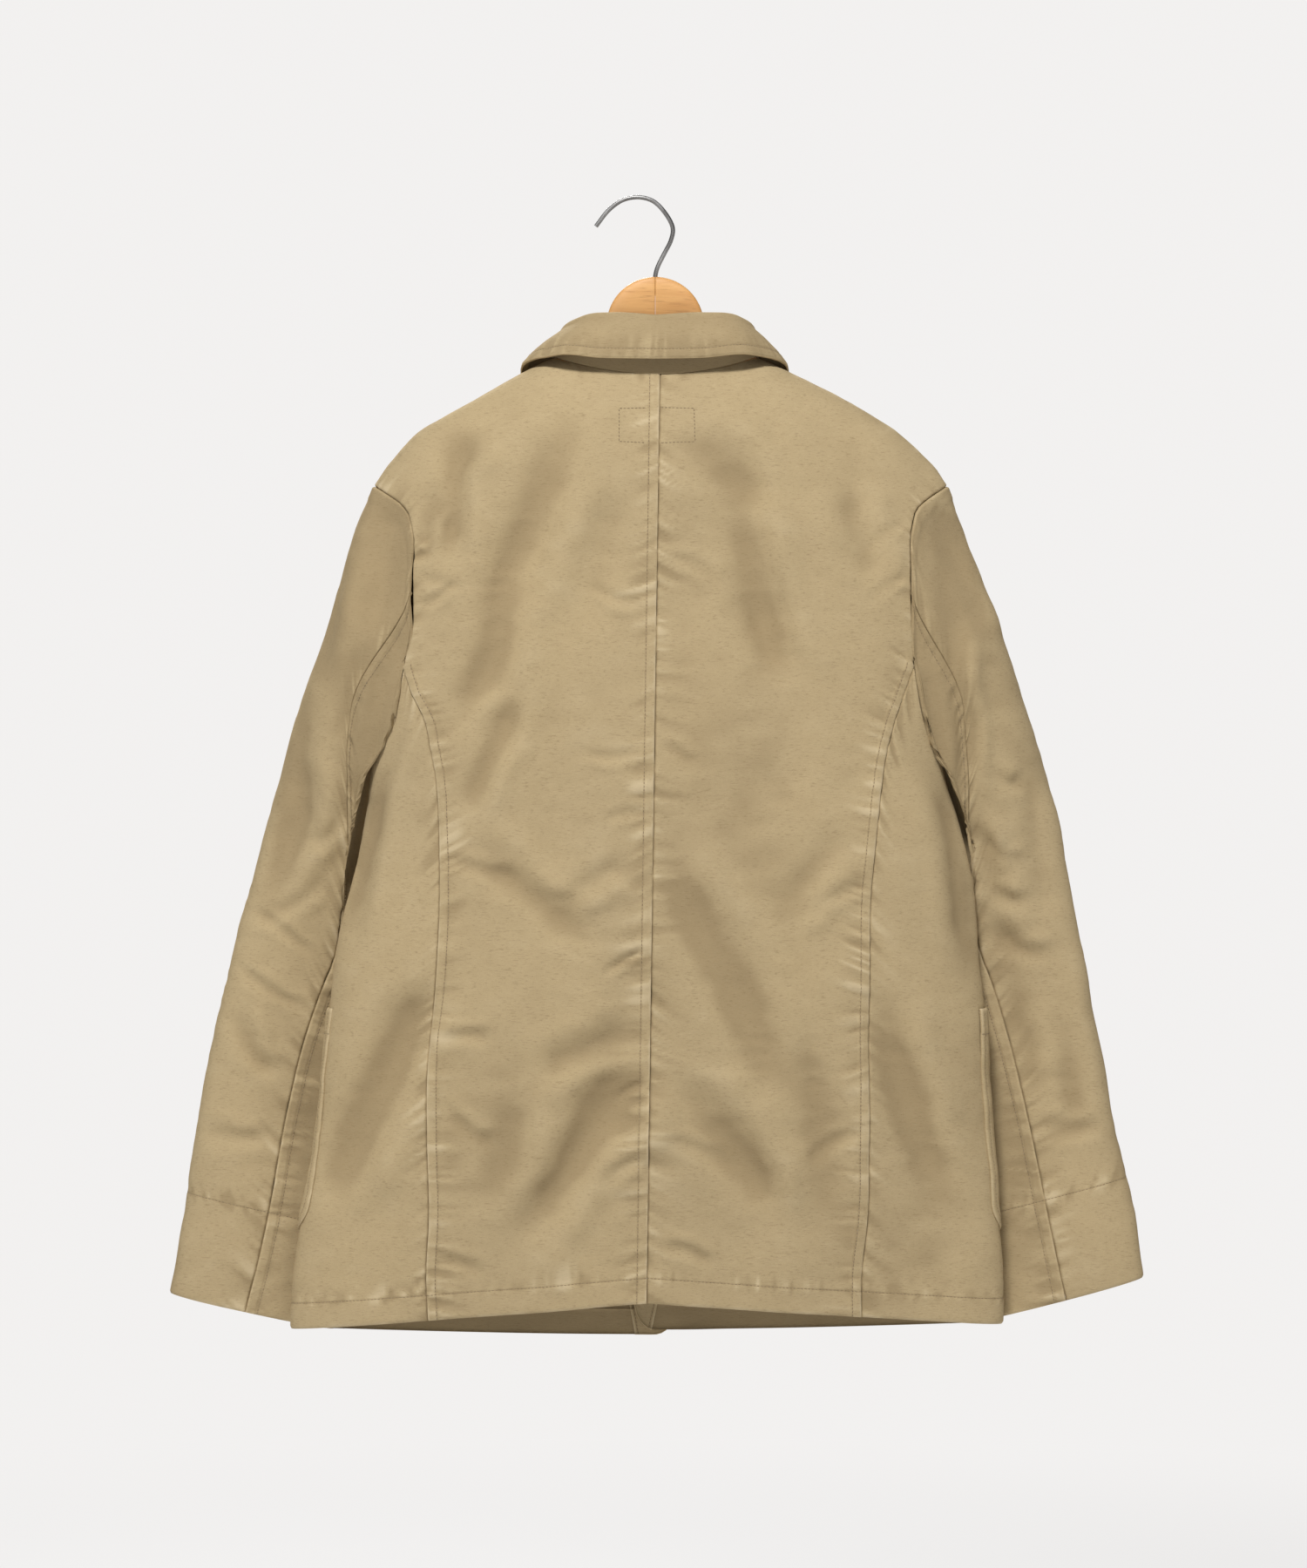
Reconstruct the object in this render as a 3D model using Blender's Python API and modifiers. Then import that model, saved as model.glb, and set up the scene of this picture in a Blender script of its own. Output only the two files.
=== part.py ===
"""A cotton work jacket hanging on a flat wooden hanger with a wire hook.

Sizes and tables are in millimetres, and the meshes are in metres. The origin is the inside
top of the hook, where a rail or peg carries it. +Z is up, the jacket's back faces -Y and its
front +Y, and its left sleeve is at -X. Across the body, x is measured from the jacket's
centre line, which hangs CENTRE_X from the hook's middle.

The body and sleeves are one skin, worked out from the section tables. Each piece is cut from
that skin, parted from its neighbours by SEAM_GAP and thickened inward into a wall of cloth.
"""

import math

import bpy
import numpy as np

MM = 0.001
LEFT, RIGHT = -1, 1
BACK, FRONT = -1, 1
SIDE_NAMES = {LEFT: "left", RIGHT: "right"}

# Cloth
CLOTH = 1.6
FACING_CLOTH = 1.4
COLLAR_CLOTH = 2.4
SEAM_GAP = 0.3
CORNER_LIMIT = 0.4
SHARP_DEGREES = 50.0

# Places of the body, up from the hem
CENTRE_X = 13.0
NECK_BACK_Z = -139.0
NECK_SIDE_Z = -124.0
NECK_FRONT_Z = -212.0
NECK_HALF = 80.0
ARMHOLE_BACK_Z = -366.0
ARMHOLE_FRONT_Z = -380.0
UNDERARM_DIP = 67.0
POCKET_TOP_Z = -631.0
POCKET_BOTTOM_Z = -806.0
HEM_SIDE_Z = {LEFT: -881.0, RIGHT: -877.0}
HEM_BACK_Z = -858.0
HEM_FRONT_DROP = 8.0
CENTRE_BACK_X = (-6.8, 3.4)

# Roundness of the body
SECTION_POWER = 2.3
SHOULDER_ARCH = 120.0
FRONT_SEAM_AT = 0.86
OVERLAP = 16.0
OVERLAP_INSET = 4.0
OVERLAP_EASE = (22.0, 62.0)
CORNER_RISE = (3.0, 22.0)

# Rows and columns of the skin
HEM_ROWS = 3
POCKET_ROWS = 6
CHEST_ROWS = 8
YOKE_ROWS = 8
LOWER_ROWS = HEM_ROWS + POCKET_ROWS + CHEST_ROWS
NECK_COLUMNS = 4
SHOULDER_COLUMNS = 5
BODY_COLUMNS = NECK_COLUMNS + SHOULDER_COLUMNS
SIDE_COLUMNS = 8
OVERLAP_COLUMNS = 2
SLEEVE_ROWS = 20
TOP_CROWDING = 1.6
SLEEVE_CROWDING = 1.15


def table(names, rows):
    """A table as one array for each named column."""
    return dict(zip(names.split(), np.array(rows, float).T))


# Half widths and depths of the body at each level
BODY = table("z left right back front", (
    (-890, 284.5, 269, 36, 30),
    (-835, 280.5, 270, 41, 36),
    (-806, 276.5, 268, 44, 40),
    (-760, 270.0, 266, 48, 45),
    (-700, 262.5, 262, 53, 50),
    (-631, 254.0, 257, 57, 55),
    (-581, 247.5, 252, 60, 58),
    (-530, 237.0, 246, 62, 60),
    (-490, 229.0, 237, 63, 61),
    (-440, 222.0, 224, 64, 62),
    (-380, 225.0, 227, 63, 62),
    (-300, 228.0, 234, 60, 62),
    (-100, 228.0, 236, 60, 62),
))

# Where the curved side back seam runs
SIDE_BACK_SEAM = table("z left right", (
    (-890, 175, 160),
    (-832, 177, 160),
    (-796, 175, 164),
    (-728, 176, 165),
    (-664, 174, 165),
    (-595, 168, 165),
    (-543, 166, 166),
    (-489, 167, 171),
    (-454, 169, 175),
    (-430, 173, 179),
    (-405, 178, 186),
    (-385, 188, 194),
    (-366, 195, 201),
))

# The top line of the shoulders, out from the centre of the neck
SHOULDER = table("left right z", (
    (0.0, 0.0, -114.0),
    (40.0, 40.0, -116.0),
    (80.0, 80.0, -124.0),
    (103.0, 105.0, -135.0),
    (142.0, 149.0, -157.0),
    (167.0, 173.0, -171.0),
    (188.0, 192.0, -184.0),
    (200.6, 207.0, -198.0),
    (211.5, 220.0, -211.5),
    (219.5, 228.0, -224.0),
))

# The armhole seams, from the side panel's corner up to the shoulder's tip
ARMHOLE = {
    BACK: table("left right z", (
        (195.0, 201.0, -366.0),
        (193.0, 202.0, -357.0),
        (188.0, 200.0, -339.0),
        (188.0, 198.0, -312.0),
        (188.0, 197.0, -289.0),
        (187.0, 197.0, -270.0),
        (190.0, 199.5, -254.0),
        (196.0, 205.0, -241.0),
        (219.5, 228.0, -224.0),
    )),
    FRONT: table("left right z", (
        (193.5, 195.2, -380.0),
        (185.0, 187.0, -362.0),
        (178.0, 181.0, -338.0),
        (174.0, 178.0, -310.0),
        (174.0, 178.0, -285.0),
        (178.0, 182.0, -262.0),
        (188.0, 193.0, -243.0),
        (219.5, 228.0, -224.0),
    )),
}

# Each sleeve from armhole (0) to cuff (1): its outer edge's half width from the centre line, how
# far forward that edge hangs, the same for its inner edge, half its depth, and how the seams wind
SLEEVE = table("along left right outer_y inner_x inner_y depth wind", (
    (0.00, 219.5, 228, 0, 222, 0, 38, 0),
    (0.10, 245.0, 251, 6, 222, 20, 40, -3),
    (0.22, 268.0, 278, 14, 216, 44, 38, -8),
    (0.35, 294.0, 304, 22, 210, 62, 35, -13),
    (0.48, 314.0, 321, 27, 206, 72, 32, -16),
    (0.61, 336.0, 337, 29, 208, 74, 30, -14),
    (0.73, 351.5, 353, 28, 216, 70, 28, -8),
    (0.87, 367.0, 371, 24, 234, 60, 25, 1),
    (1.00, 382.0, 383, 20, 254, 50, 22, 7),
))
SLEEVE_OUTER_END_Z = {LEFT: -855.0, RIGHT: -843.0}
SLEEVE_INNER_END_Z = {LEFT: -886.0, RIGHT: -880.0}
SLEEVE_EASE = 0.15
SLEEVE_CLEARANCE = 7.0
UNDERARM_CLEARANCE = 1.4
UNDERARM_GAP = 0.5
RIDGE_LIMIT = 0.0
CLEARANCE_RUN = 12.0
CLEARANCE_STEPS = 6
EVEN_STRINGS_AT = 0.5
SEAM_STRINGS = (6, 18)
HEAD_ROWS, UNDER_HEAD_ROWS, CUFF_ROW = 6, 8, 18

# The largest folds of the body: a soft line from one place to another, and how far it sinks.
# They reach their whole depth where the skin stands out this far, and less near the edges.
FULL_FOLD_LEVEL = 0.67
FOLDS = table("face x z end_x end_z width depth", (
    (BACK, -76, -165, -100, -285, 26, 4.5),
    (BACK, -100, -285, -125, -400, 30, 3.5),
    (BACK, -140, -235, -143, -270, 20, 3.5),
    (BACK, 62, -225, 84, -330, 28, 4.0),
    (BACK, 84, -330, 100, -440, 30, 3.5),
    (BACK, 140, -200, 175, -250, 22, 3.0),
    (BACK, -8, -625, -70, -800, 26, 4.0),
    (BACK, 8, -660, 75, -800, 26, 4.0),
    (BACK, -170, -640, -238, -795, 24, 3.5),
    (BACK, 170, -630, 236, -800, 26, 3.5),
    (BACK, -60, -430, -95, -560, 34, 3.0),
    (BACK, 50, -470, 95, -590, 34, 3.0),
    (FRONT, -60, -250, -120, -420, 30, 4.0),
    (FRONT, 65, -260, 115, -430, 30, 4.0),
    (FRONT, -150, -480, -110, -620, 30, 3.5),
    (FRONT, 140, -500, 100, -640, 30, 3.5),
))

# The collar's fold line and lower edge, from the centre of the back (0) to its front end (1)
COLLAR_FOLD = table("around left right y z", (
    (0.00, 0, 0, -33, -94),
    (0.20, 30, 38, -31, -92),
    (0.38, 56, 64, -20, -94),
    (0.50, 70, 74, 0, -103),
    (0.57, 70, 72, 22, -117),
    (0.64, 67, 68, 41, -136),
    (0.82, 42, 42, 62, -174),
    (1.00, 3, 3, 70, -190),
))
COLLAR_EDGE = table("around left right y z", (
    (0.00, 0, 0, -47, -128),
    (0.20, 42, 38, -44, -127),
    (0.38, 78, 76, -32, -124),
    (0.50, 104, 103, 3, -130),
    (0.57, 105, 105, 28, -142),
    (0.64, 103, 104, 48, -164),
    (0.82, 84, 85, 67, -222),
    (1.00, 52, 52, 70, -262),
))
COLLAR_ROLL = 4.5
COLLAR_BASE_GAP = 0.95
COLLAR_LIFT, COLLAR_LIFT_AT, COLLAR_LIFT_WIDTH = 4.0, 0.57, 0.08
COLLAR_END_GAP = 2.0
COLLAR_BULGE = 3.0
COLLAR_STAND_ROWS = 2
COLLAR_ROLL_ROWS = 4
COLLAR_FALL_ROWS = 3

# The hanger, out from its middle: how far its top edge lies below the shoulder's line, its
# bottom edge and half its thickness. Inside the first row its top is the dome's arc.
HANGER = table("x drop bottom half", (
    (36.0, -29.3, -153.0, 6.5),
    (40.0, -17.0, -153.5, 6.5),
    (46.0, -4.5, -154.5, 6.5),
    (58.0, 2.0, -157.5, 6.5),
    (80.0, 3.2, -165.0, 6.5),
    (105.0, 3.2, -177.0, 6.3),
    (140.0, 3.2, -195.0, 6.0),
    (172.0, 3.6, -211.0, 5.5),
    (186.0, 5.5, -216.0, 5.0),
    (193.0, 10.0, -216.0, 3.5),
))
HANGER_STATIONS = (0.15, 6, 12, 18, 23, 28, 32, 36, 40, 46, 58, 80, 105, 130, 155, 172, 186, 193)
HANGER_SIDES = 16
HANGER_POWER = 2.6
DOME_RADIUS = 38.0
DOME_TOP_Z = -60.5

# The hook
WIRE = 3.45
HOOK = table("x z", (
    (-33.3, -21.0),
    (-23.6, -8.6),
    (-12.6, -0.6),
    (0.0, 1.75),
    (11.8, -1.6),
    (21.0, -11.0),
    (26.6, -22.0),
    (25.2, -32.0),
    (20.2, -42.0),
    (15.2, -52.0),
    (13.2, -59.0),
    (13.0, -65.0),
    (13.0, -75.0),
))
HOOK_POINTS = 38
WIRE_BEVEL = 2
HOLE_DEPTH = 16.0
HOLE_SIDES = 16

# Facings, pockets and buttons
FACING_COLUMNS = {LEFT: 3.0, RIGHT: 2.5}
POCKET_SIDE_COLUMN = 4
POCKET_FRONT_COLUMNS = 4
POCKET_GAP = 0.4
POCKET_ROUNDING = 0.6
BUTTON_Z = (-248.0, -366.0, -484.0, -602.0, -720.0)
BUTTON_PROFILE = table("radius height", (
    (0.0, 2.9),
    (5.6, 2.9),
    (6.6, 3.6),
    (9.0, 3.6),
    (10.0, 2.6),
    (10.0, 1.0),
    (8.4, 0.0),
    (0.0, 0.0),
))
BUTTON_STEPS = 18
BUTTON_GAP = 0.3
BUTTON_RADIUS = 10.0

KHAKI = (0.46, 0.375, 0.235)
WOOD = (0.60, 0.36, 0.16)
STEEL = (0.55, 0.54, 0.52)
HORN = (0.12, 0.08, 0.05)
CLOTH_FINISH = (KHAKI, 0.9)


# ---------------------------------------------------------------- curves and tables


def read(rows, key, name, at):
    """The named column at a value of the key column, along a smooth curve."""
    keys, values = rows[key], rows[name]
    at = np.clip(at, keys[0], keys[-1])
    slopes = np.gradient(values, keys)
    low = np.clip(np.searchsorted(keys, at, side="right") - 1, 0, len(keys) - 2)
    step = keys[low + 1] - keys[low]
    t = (at - keys[low]) / step
    rise = values[low + 1] - values[low]
    return (
        values[low] + rise * t * t * (3 - 2 * t)
        + step * slopes[low] * t * (1 - t) ** 2
        - step * slopes[low + 1] * t * t * (1 - t)
    )


def ease(t):
    """0 to 1 with level ends."""
    t = np.clip(t, 0, 1)
    return t * t * (3 - 2 * t)


def mix(low, high, t):
    return low + (high - low) * t


def along(points, t):
    """A place on a polyline, at a fraction of its length."""
    points = np.array(points, float)
    reach = np.concatenate([[0], np.cumsum(np.linalg.norm(np.diff(points, axis=0), axis=1))])
    return np.array([np.interp(t * reach[-1], reach, column) for column in points.T])


def smooth_line(points, count):
    """Points evenly numbered along a smooth curve through the given ones."""
    points = np.array(points, float)
    rows = {"at": np.arange(len(points), dtype=float)}
    for axis in range(points.shape[1]):
        rows[axis] = points[:, axis]
    at = np.linspace(0, len(points) - 1, count)
    return np.stack([read(rows, "at", axis, at) for axis in range(points.shape[1])], axis=1)


# ---------------------------------------------------------------- the body's skin


def half_width(side, z):
    return read(BODY, "z", SIDE_NAMES[side], z)


def side_of(x):
    return LEFT if x < 0 else RIGHT


def fold_depth(face, x, z):
    """How far the folds sink the skin at one place."""
    sunk = 0.0
    for i in range(len(FOLDS["x"])):
        if FOLDS["face"][i] != face:
            continue
        start = np.array([FOLDS["x"][i], FOLDS["z"][i]])
        run = np.array([FOLDS["end_x"][i], FOLDS["end_z"][i]]) - start
        t = np.dot([x - start[0], z - start[1]], run) / np.dot(run, run)
        near = start + run * np.clip(t, 0, 1)
        away = math.hypot(x - near[0], z - near[1]) / FOLDS["width"][i]
        sunk += FOLDS["depth"][i] * math.exp(-away * away)
    return sunk


def surface_y(face, x, z):
    """How far back or forward the skin lies behind a place on the jacket's front view."""
    side = side_of(x)
    across = min(abs(x) / half_width(side, z), 1.0)
    below = (read(SHOULDER, SIDE_NAMES[side], "z", abs(x)) - z) / SHOULDER_ARCH
    arch = math.sqrt(max(1 - max(1 - below, 0) ** 2, 0))
    depth = read(BODY, "z", "back" if face == BACK else "front", z)
    round_off = (1 - across ** SECTION_POWER) ** (1 / SECTION_POWER)
    level = round_off * arch
    return face * level * (depth - fold_depth(face, x, z) * min(level / FULL_FOLD_LEVEL, 1))


def skin_point(face, x, z):
    return np.array([x, surface_y(face, x, z), z])


def hem_z(side, face, across):
    """The hem's level, from the middle (across 0) to the side (across 1)."""
    if face == BACK:
        return mix(HEM_BACK_Z, HEM_SIDE_Z[side], across)
    return HEM_SIDE_Z[side] - HEM_FRONT_DROP * (1 - across**2)


def row_z(row, hem, top):
    """The level of one of the rows from the hem to the foot of the armhole."""
    if row <= HEM_ROWS:
        return mix(hem, POCKET_BOTTOM_Z, row / HEM_ROWS)
    row -= HEM_ROWS
    if row <= POCKET_ROWS:
        return mix(POCKET_BOTTOM_Z, POCKET_TOP_Z, row / POCKET_ROWS)
    return mix(POCKET_TOP_Z, top, (row - POCKET_ROWS) / CHEST_ROWS)


def centre_back_x(z):
    return mix(*CENTRE_BACK_X, (z - HEM_BACK_Z) / (NECK_BACK_Z - HEM_BACK_Z))


def side_seam_x(side, face, z):
    if face == BACK:
        return side * read(SIDE_BACK_SEAM, "z", SIDE_NAMES[side], z)
    return side * half_width(side, z) * FRONT_SEAM_AT


def shoulder_point(side, t):
    """A place on the shoulder seam, from the neck (0) to the tip (1)."""
    neck = int(np.searchsorted(SHOULDER["z"][::-1], NECK_SIDE_Z))
    first = len(SHOULDER["z"]) - 1 - neck
    line = np.stack([side * SHOULDER[SIDE_NAMES[side]], SHOULDER["z"]], axis=1)[first:]
    return along(line, t)


def armhole_point(side, face, t):
    """A place on the armhole seam, from the side panel's corner (0) to the tip (1)."""
    rows = ARMHOLE[face]
    return along(np.stack([side * rows[SIDE_NAMES[side]], rows["z"]], axis=1), t)


def neck_point(side, face, t):
    """A place on the neck seam, from the middle (0) to the shoulder seam (1)."""
    if face == BACK:
        x = mix(centre_back_x(NECK_BACK_Z), side * NECK_HALF, t)
        return np.array([x, mix(NECK_BACK_Z, NECK_SIDE_Z, t * t)])
    angle = t * math.pi / 2
    return np.array([
        side * NECK_HALF * math.sin(angle),
        mix(NECK_SIDE_Z, NECK_FRONT_Z, math.cos(angle)),
    ])


def top_line(side, face):
    """The upper edge of a back or front: the neck seam, then the shoulder seam."""
    neck = [neck_point(side, face, i / NECK_COLUMNS) for i in range(NECK_COLUMNS)]
    shoulder = [
        shoulder_point(side, i / SHOULDER_COLUMNS) for i in range(SHOULDER_COLUMNS + 1)
    ]
    return neck + shoulder


def overlap_inset(side, x):
    """The right front lies under the left one, deeper by the left front's cloth and facing."""
    if side == LEFT:
        return 0.0
    near, far = OVERLAP_EASE
    return OVERLAP_INSET * (1 - ease((x - near) / (far - near)))


def panel(side, face):
    """A back or front as rows of points from the hem up. A back's columns run from the middle
    to the side, and a front's from the side to its closing edge."""
    flap = [-side * OVERLAP * (i + 1) / OVERLAP_COLUMNS for i in range(OVERLAP_COLUMNS)]
    flap = flap[::-1] if face == FRONT else []
    corner_z = ARMHOLE_BACK_Z if face == BACK else ARMHOLE_FRONT_Z
    hem_seam = abs(side_seam_x(side, face, HEM_SIDE_Z[side]))
    hem_across = hem_seam / half_width(side, HEM_SIDE_Z[side])
    flat = []
    for row in range(LOWER_ROWS + 1):
        line = []
        for i, x in enumerate(flap):
            rise = CORNER_RISE[len(flap) - 1 - i]
            line.append((x, row_z(row, hem_z(side, face, 0) + rise, corner_z)))
        for column in range(BODY_COLUMNS + 1):
            part = column / BODY_COLUMNS
            z = row_z(row, hem_z(side, face, part * hem_across), corner_z)
            middle = centre_back_x(z) if face == BACK else 0.0
            line.append((mix(middle, side_seam_x(side, face, z), part), z))
        flat.append(line)

    base = np.array(flat[-1])
    top = [(x, NECK_FRONT_Z) for x in flap] + top_line(side, face)
    top = np.array([tuple(place) for place in top])
    across = np.arange(len(base)) / (len(base) - 1)
    for row in range(1, YOKE_ROWS + 1):
        up = 1 - (1 - row / YOKE_ROWS) ** TOP_CROWDING
        line = mix(base, top, up)
        edge = armhole_point(side, face, up) - line[-1]
        flat.append(line + np.outer(across**2, edge))

    points = np.array([[skin_point(face, x, z) for x, z in line] for line in flat])
    if face == BACK:
        return points
    for line in points:
        for place in line:
            place[1] -= overlap_inset(side, side * place[0])
    return points[:, ::-1]


def section_angle(side, face, z):
    """The seam's place on the body's section, as an angle from the side (0) to the middle."""
    across = abs(side_seam_x(side, face, z)) / half_width(side, z)
    return face * math.acos(across ** (SECTION_POWER / 2))


def side_panel(side):
    """The side panel: rows from the hem up to the underarm, columns from back to front."""
    points = np.zeros((LOWER_ROWS + 1, SIDE_COLUMNS + 1, 3))
    hem_level = HEM_SIDE_Z[side]
    for column in range(SIDE_COLUMNS + 1):
        part = column / SIDE_COLUMNS
        top = mix(ARMHOLE_BACK_Z, ARMHOLE_FRONT_Z, part) - UNDERARM_DIP * math.sin(math.pi * part)
        hem_angle = mix(
            section_angle(side, BACK, hem_level), section_angle(side, FRONT, hem_level), part
        )
        face = BACK if hem_angle < 0 else FRONT
        hem = hem_z(side, face, math.cos(hem_angle) ** (2 / SECTION_POWER))
        for row in range(LOWER_ROWS + 1):
            z = row_z(row, hem, top)
            angle = mix(section_angle(side, BACK, z), section_angle(side, FRONT, z), part)
            x = side * half_width(side, z) * math.cos(angle) ** (2 / SECTION_POWER)
            points[row, column] = skin_point(BACK if angle < 0 else FRONT, x, z)
    return points


# ---------------------------------------------------------------- the sleeves' skin


def armhole_loop(back, side_points, front):
    """The armhole's points: from the shoulder's tip down the back, under the arm and up."""
    down = back[LOWER_ROWS:, -1][::-1]
    under = side_points[-1, 1:]
    up = front[LOWER_ROWS + 1:, 0]
    return np.concatenate([down, under, up])[:-1]


def clear_of_body(side, place, underarm):
    """Moves a point of the sleeve out of the body's side, most of all below the underarm."""
    x, y, z = place
    weight = np.clip((underarm[0, 2] - z) / CLEARANCE_RUN + 0.5, 0, 1)
    if weight == 0:
        return place
    below = np.interp(y, underarm[:, 1], underarm[:, 2]) - z
    clearance = np.interp(below, (0, CLEARANCE_RUN), (UNDERARM_CLEARANCE, SLEEVE_CLEARANCE))
    wide = half_width(side, z) + clearance
    depth = read(BODY, "z", "front" if y > 0 else "back", z) + clearance
    x0, y0 = abs(x), abs(y)
    for _ in range(CLEARANCE_STEPS):
        value = (x0 / wide) ** SECTION_POWER + (y0 / depth) ** SECTION_POWER
        if value >= 1:
            break
        slope_x = SECTION_POWER * (x0 / wide) ** (SECTION_POWER - 1) / wide
        slope_y = SECTION_POWER * (y0 / depth) ** (SECTION_POWER - 1) / depth
        step = (1 - value) / (slope_x**2 + slope_y**2)
        x0 += slope_x * step
        y0 += slope_y * step
    return mix(place, np.array([side * x0, y0 if y > 0 else -y0, z]), weight)


def sleeve(side, loop):
    """A sleeve: rings from the armhole to the cuff, strings round it from the outer edge."""
    count = len(loop)
    half = count // 2
    lengths = np.linalg.norm(np.diff(np.vstack([loop, loop[:1]]), axis=0), axis=1)
    reach = np.concatenate([[0], np.cumsum(lengths)])
    low = reach[half]
    first = [
        180 * reach[i] / low if i <= half else 180 + 180 * (reach[i] - low) / (reach[-1] - low)
        for i in range(count)
    ]
    tip, pit = loop[0], loop[half]
    underarm = loop[YOKE_ROWS : YOKE_ROWS + SIDE_COLUMNS + 1]
    rings = np.zeros((SLEEVE_ROWS + 1, count, 3))
    rest = None
    for row in range(SLEEVE_ROWS + 1):
        t = (row / SLEEVE_ROWS) ** SLEEVE_CROWDING
        outer = np.array([
            side * read(SLEEVE, "along", SIDE_NAMES[side], t),
            read(SLEEVE, "along", "outer_y", t),
            mix(tip[2], SLEEVE_OUTER_END_Z[side], t),
        ])
        inner = np.array([
            side * read(SLEEVE, "along", "inner_x", t),
            read(SLEEVE, "along", "inner_y", t),
            mix(pit[2], SLEEVE_INNER_END_Z[side], t),
        ])
        centre, reach_in = (outer + inner) / 2, (inner - outer) / 2
        axis = reach_in / np.linalg.norm(reach_in)
        forward = np.array([0.0, 1.0, 0.0])
        forward -= axis * np.dot(forward, axis)
        forward *= read(SLEEVE, "along", "depth", t) / np.linalg.norm(forward)
        wind = read(SLEEVE, "along", "wind", t)
        ring = np.zeros((count, 3))
        for i in range(count):
            even = 360 * i / count
            turn = math.radians(mix(first[i], even, ease(t / EVEN_STRINGS_AT)) - wind)
            across = math.copysign(abs(math.cos(turn)) ** (2 / SECTION_POWER), math.cos(turn))
            deep = math.copysign(abs(math.sin(turn)) ** (2 / SECTION_POWER), math.sin(turn))
            ring[i] = centre - reach_in * across - forward * deep
        if rest is None:
            rest = loop - ring
        ring += rest * (1 - ease(t / SLEEVE_EASE))
        rings[row] = [clear_of_body(side, place, underarm) for place in ring] if row else loop
    return rings


# ---------------------------------------------------------------- cloth walls


def grid_triangles(rows, columns, turned):
    """A grid's triangles, each cell split on the same diagonal, facing out."""
    found = []
    for row in range(rows - 1):
        for column in range(columns - 1):
            a = row * columns + column
            b, c, d = a + 1, a + columns + 1, a + columns
            found += [(a, c, b), (a, d, c)] if turned else [(a, b, c), (a, c, d)]
    return found


def key_of(place):
    return tuple(np.round(place, 2))


def shared_normals(grids, turned):
    """The skin's normal at each point of these grids, one for all pieces that meet there."""
    sums = {}
    for grid in grids:
        rows, columns, _ = grid.shape
        points = grid.reshape(-1, 3)
        for a, b, c in grid_triangles(rows, columns, turned):
            normal = np.cross(points[b] - points[a], points[c] - points[a])
            for corner in (a, b, c):
                key = key_of(points[corner])
                sums[key] = sums.get(key, 0) + normal
    return {key: total / np.linalg.norm(total) for key, total in sums.items()}


def normals_at(grid, normals):
    return np.array([[normals[key_of(place)] for place in line] for line in grid])


def boundary(rows, columns):
    """The indices round a grid's edge, in order."""
    first = list(range(columns))
    right = [row * columns + columns - 1 for row in range(1, rows)]
    last = [(rows - 1) * columns + column for column in range(columns - 2, -1, -1)]
    left = [row * columns for row in range(rows - 2, 0, -1)]
    return first + right + last + left


def drawn_in(grid, normals, turned):
    """The grid with its edge moved in along the cloth, which parts it from its neighbours."""
    rows, columns, _ = grid.shape
    points, normal = grid.reshape(-1, 3), normals.reshape(-1, 3)
    edge = boundary(rows, columns)
    moved = points.copy()
    for i, index in enumerate(edge):
        before, after = points[edge[i - 1]], points[edge[(i + 1) % len(edge)]]
        first = np.cross(normal[index], points[index] - before)
        second = np.cross(normal[index], after - points[index])
        first /= np.linalg.norm(first)
        second /= np.linalg.norm(second)
        inward = (first + second) / max(1 + np.dot(first, second), CORNER_LIMIT)
        moved[index] = points[index] + inward * (-SEAM_GAP if turned else SEAM_GAP) / 2
    return moved.reshape(grid.shape)


def wall_mesh(outer, inner, turned):
    """A closed wall between two grids of the same size, the outer one facing out."""
    rows, columns, _ = outer.shape
    points = np.concatenate([outer.reshape(-1, 3), inner.reshape(-1, 3)])
    offset = rows * columns
    faces = grid_triangles(rows, columns, turned)
    faces += [(c + offset, b + offset, a + offset) for a, b, c in list(faces)]
    edge = boundary(rows, columns)
    for i, index in enumerate(edge):
        after = edge[(i + 1) % len(edge)]
        strip = [(index, index + offset, after + offset), (index, after + offset, after)]
        faces += [face[::-1] for face in strip] if turned else strip
    return points, faces


# ---------------------------------------------------------------- making objects


def material(name, colour, roughness, metallic=0.0):
    made = bpy.data.materials.new(name)
    made.use_nodes = True
    shader = made.node_tree.nodes["Principled BSDF"]
    shader.inputs["Base Color"].default_value = (*colour, 1)
    shader.inputs["Roughness"].default_value = roughness
    shader.inputs["Metallic"].default_value = metallic
    made.diffuse_color = (*colour, 1)
    return made


def add_object(name, data, finish, collection):
    made = bpy.data.objects.new(name, data)
    data.materials.append(material(name, *finish))
    collection.objects.link(made)
    return made


def add_mesh(name, points, faces, finish, collection):
    """A mesh object from points in millimetres, with x from the jacket's centre line."""
    data = bpy.data.meshes.new(name)
    placed = (np.asarray(points) + (CENTRE_X, 0, 0)) * MM
    data.from_pydata(placed.tolist(), [], [tuple(int(i) for i in face) for face in faces])
    data.shade_smooth()
    data.set_sharp_from_angle(angle=math.radians(SHARP_DEGREES))
    return add_object(name, data, finish, collection)


def add_wall(name, outer, inner, turned, collection, finish=CLOTH_FINISH):
    points, faces = wall_mesh(outer, inner, turned)
    return add_mesh(name, points, faces, finish, collection)


# ---------------------------------------------------------------- the garment


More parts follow.
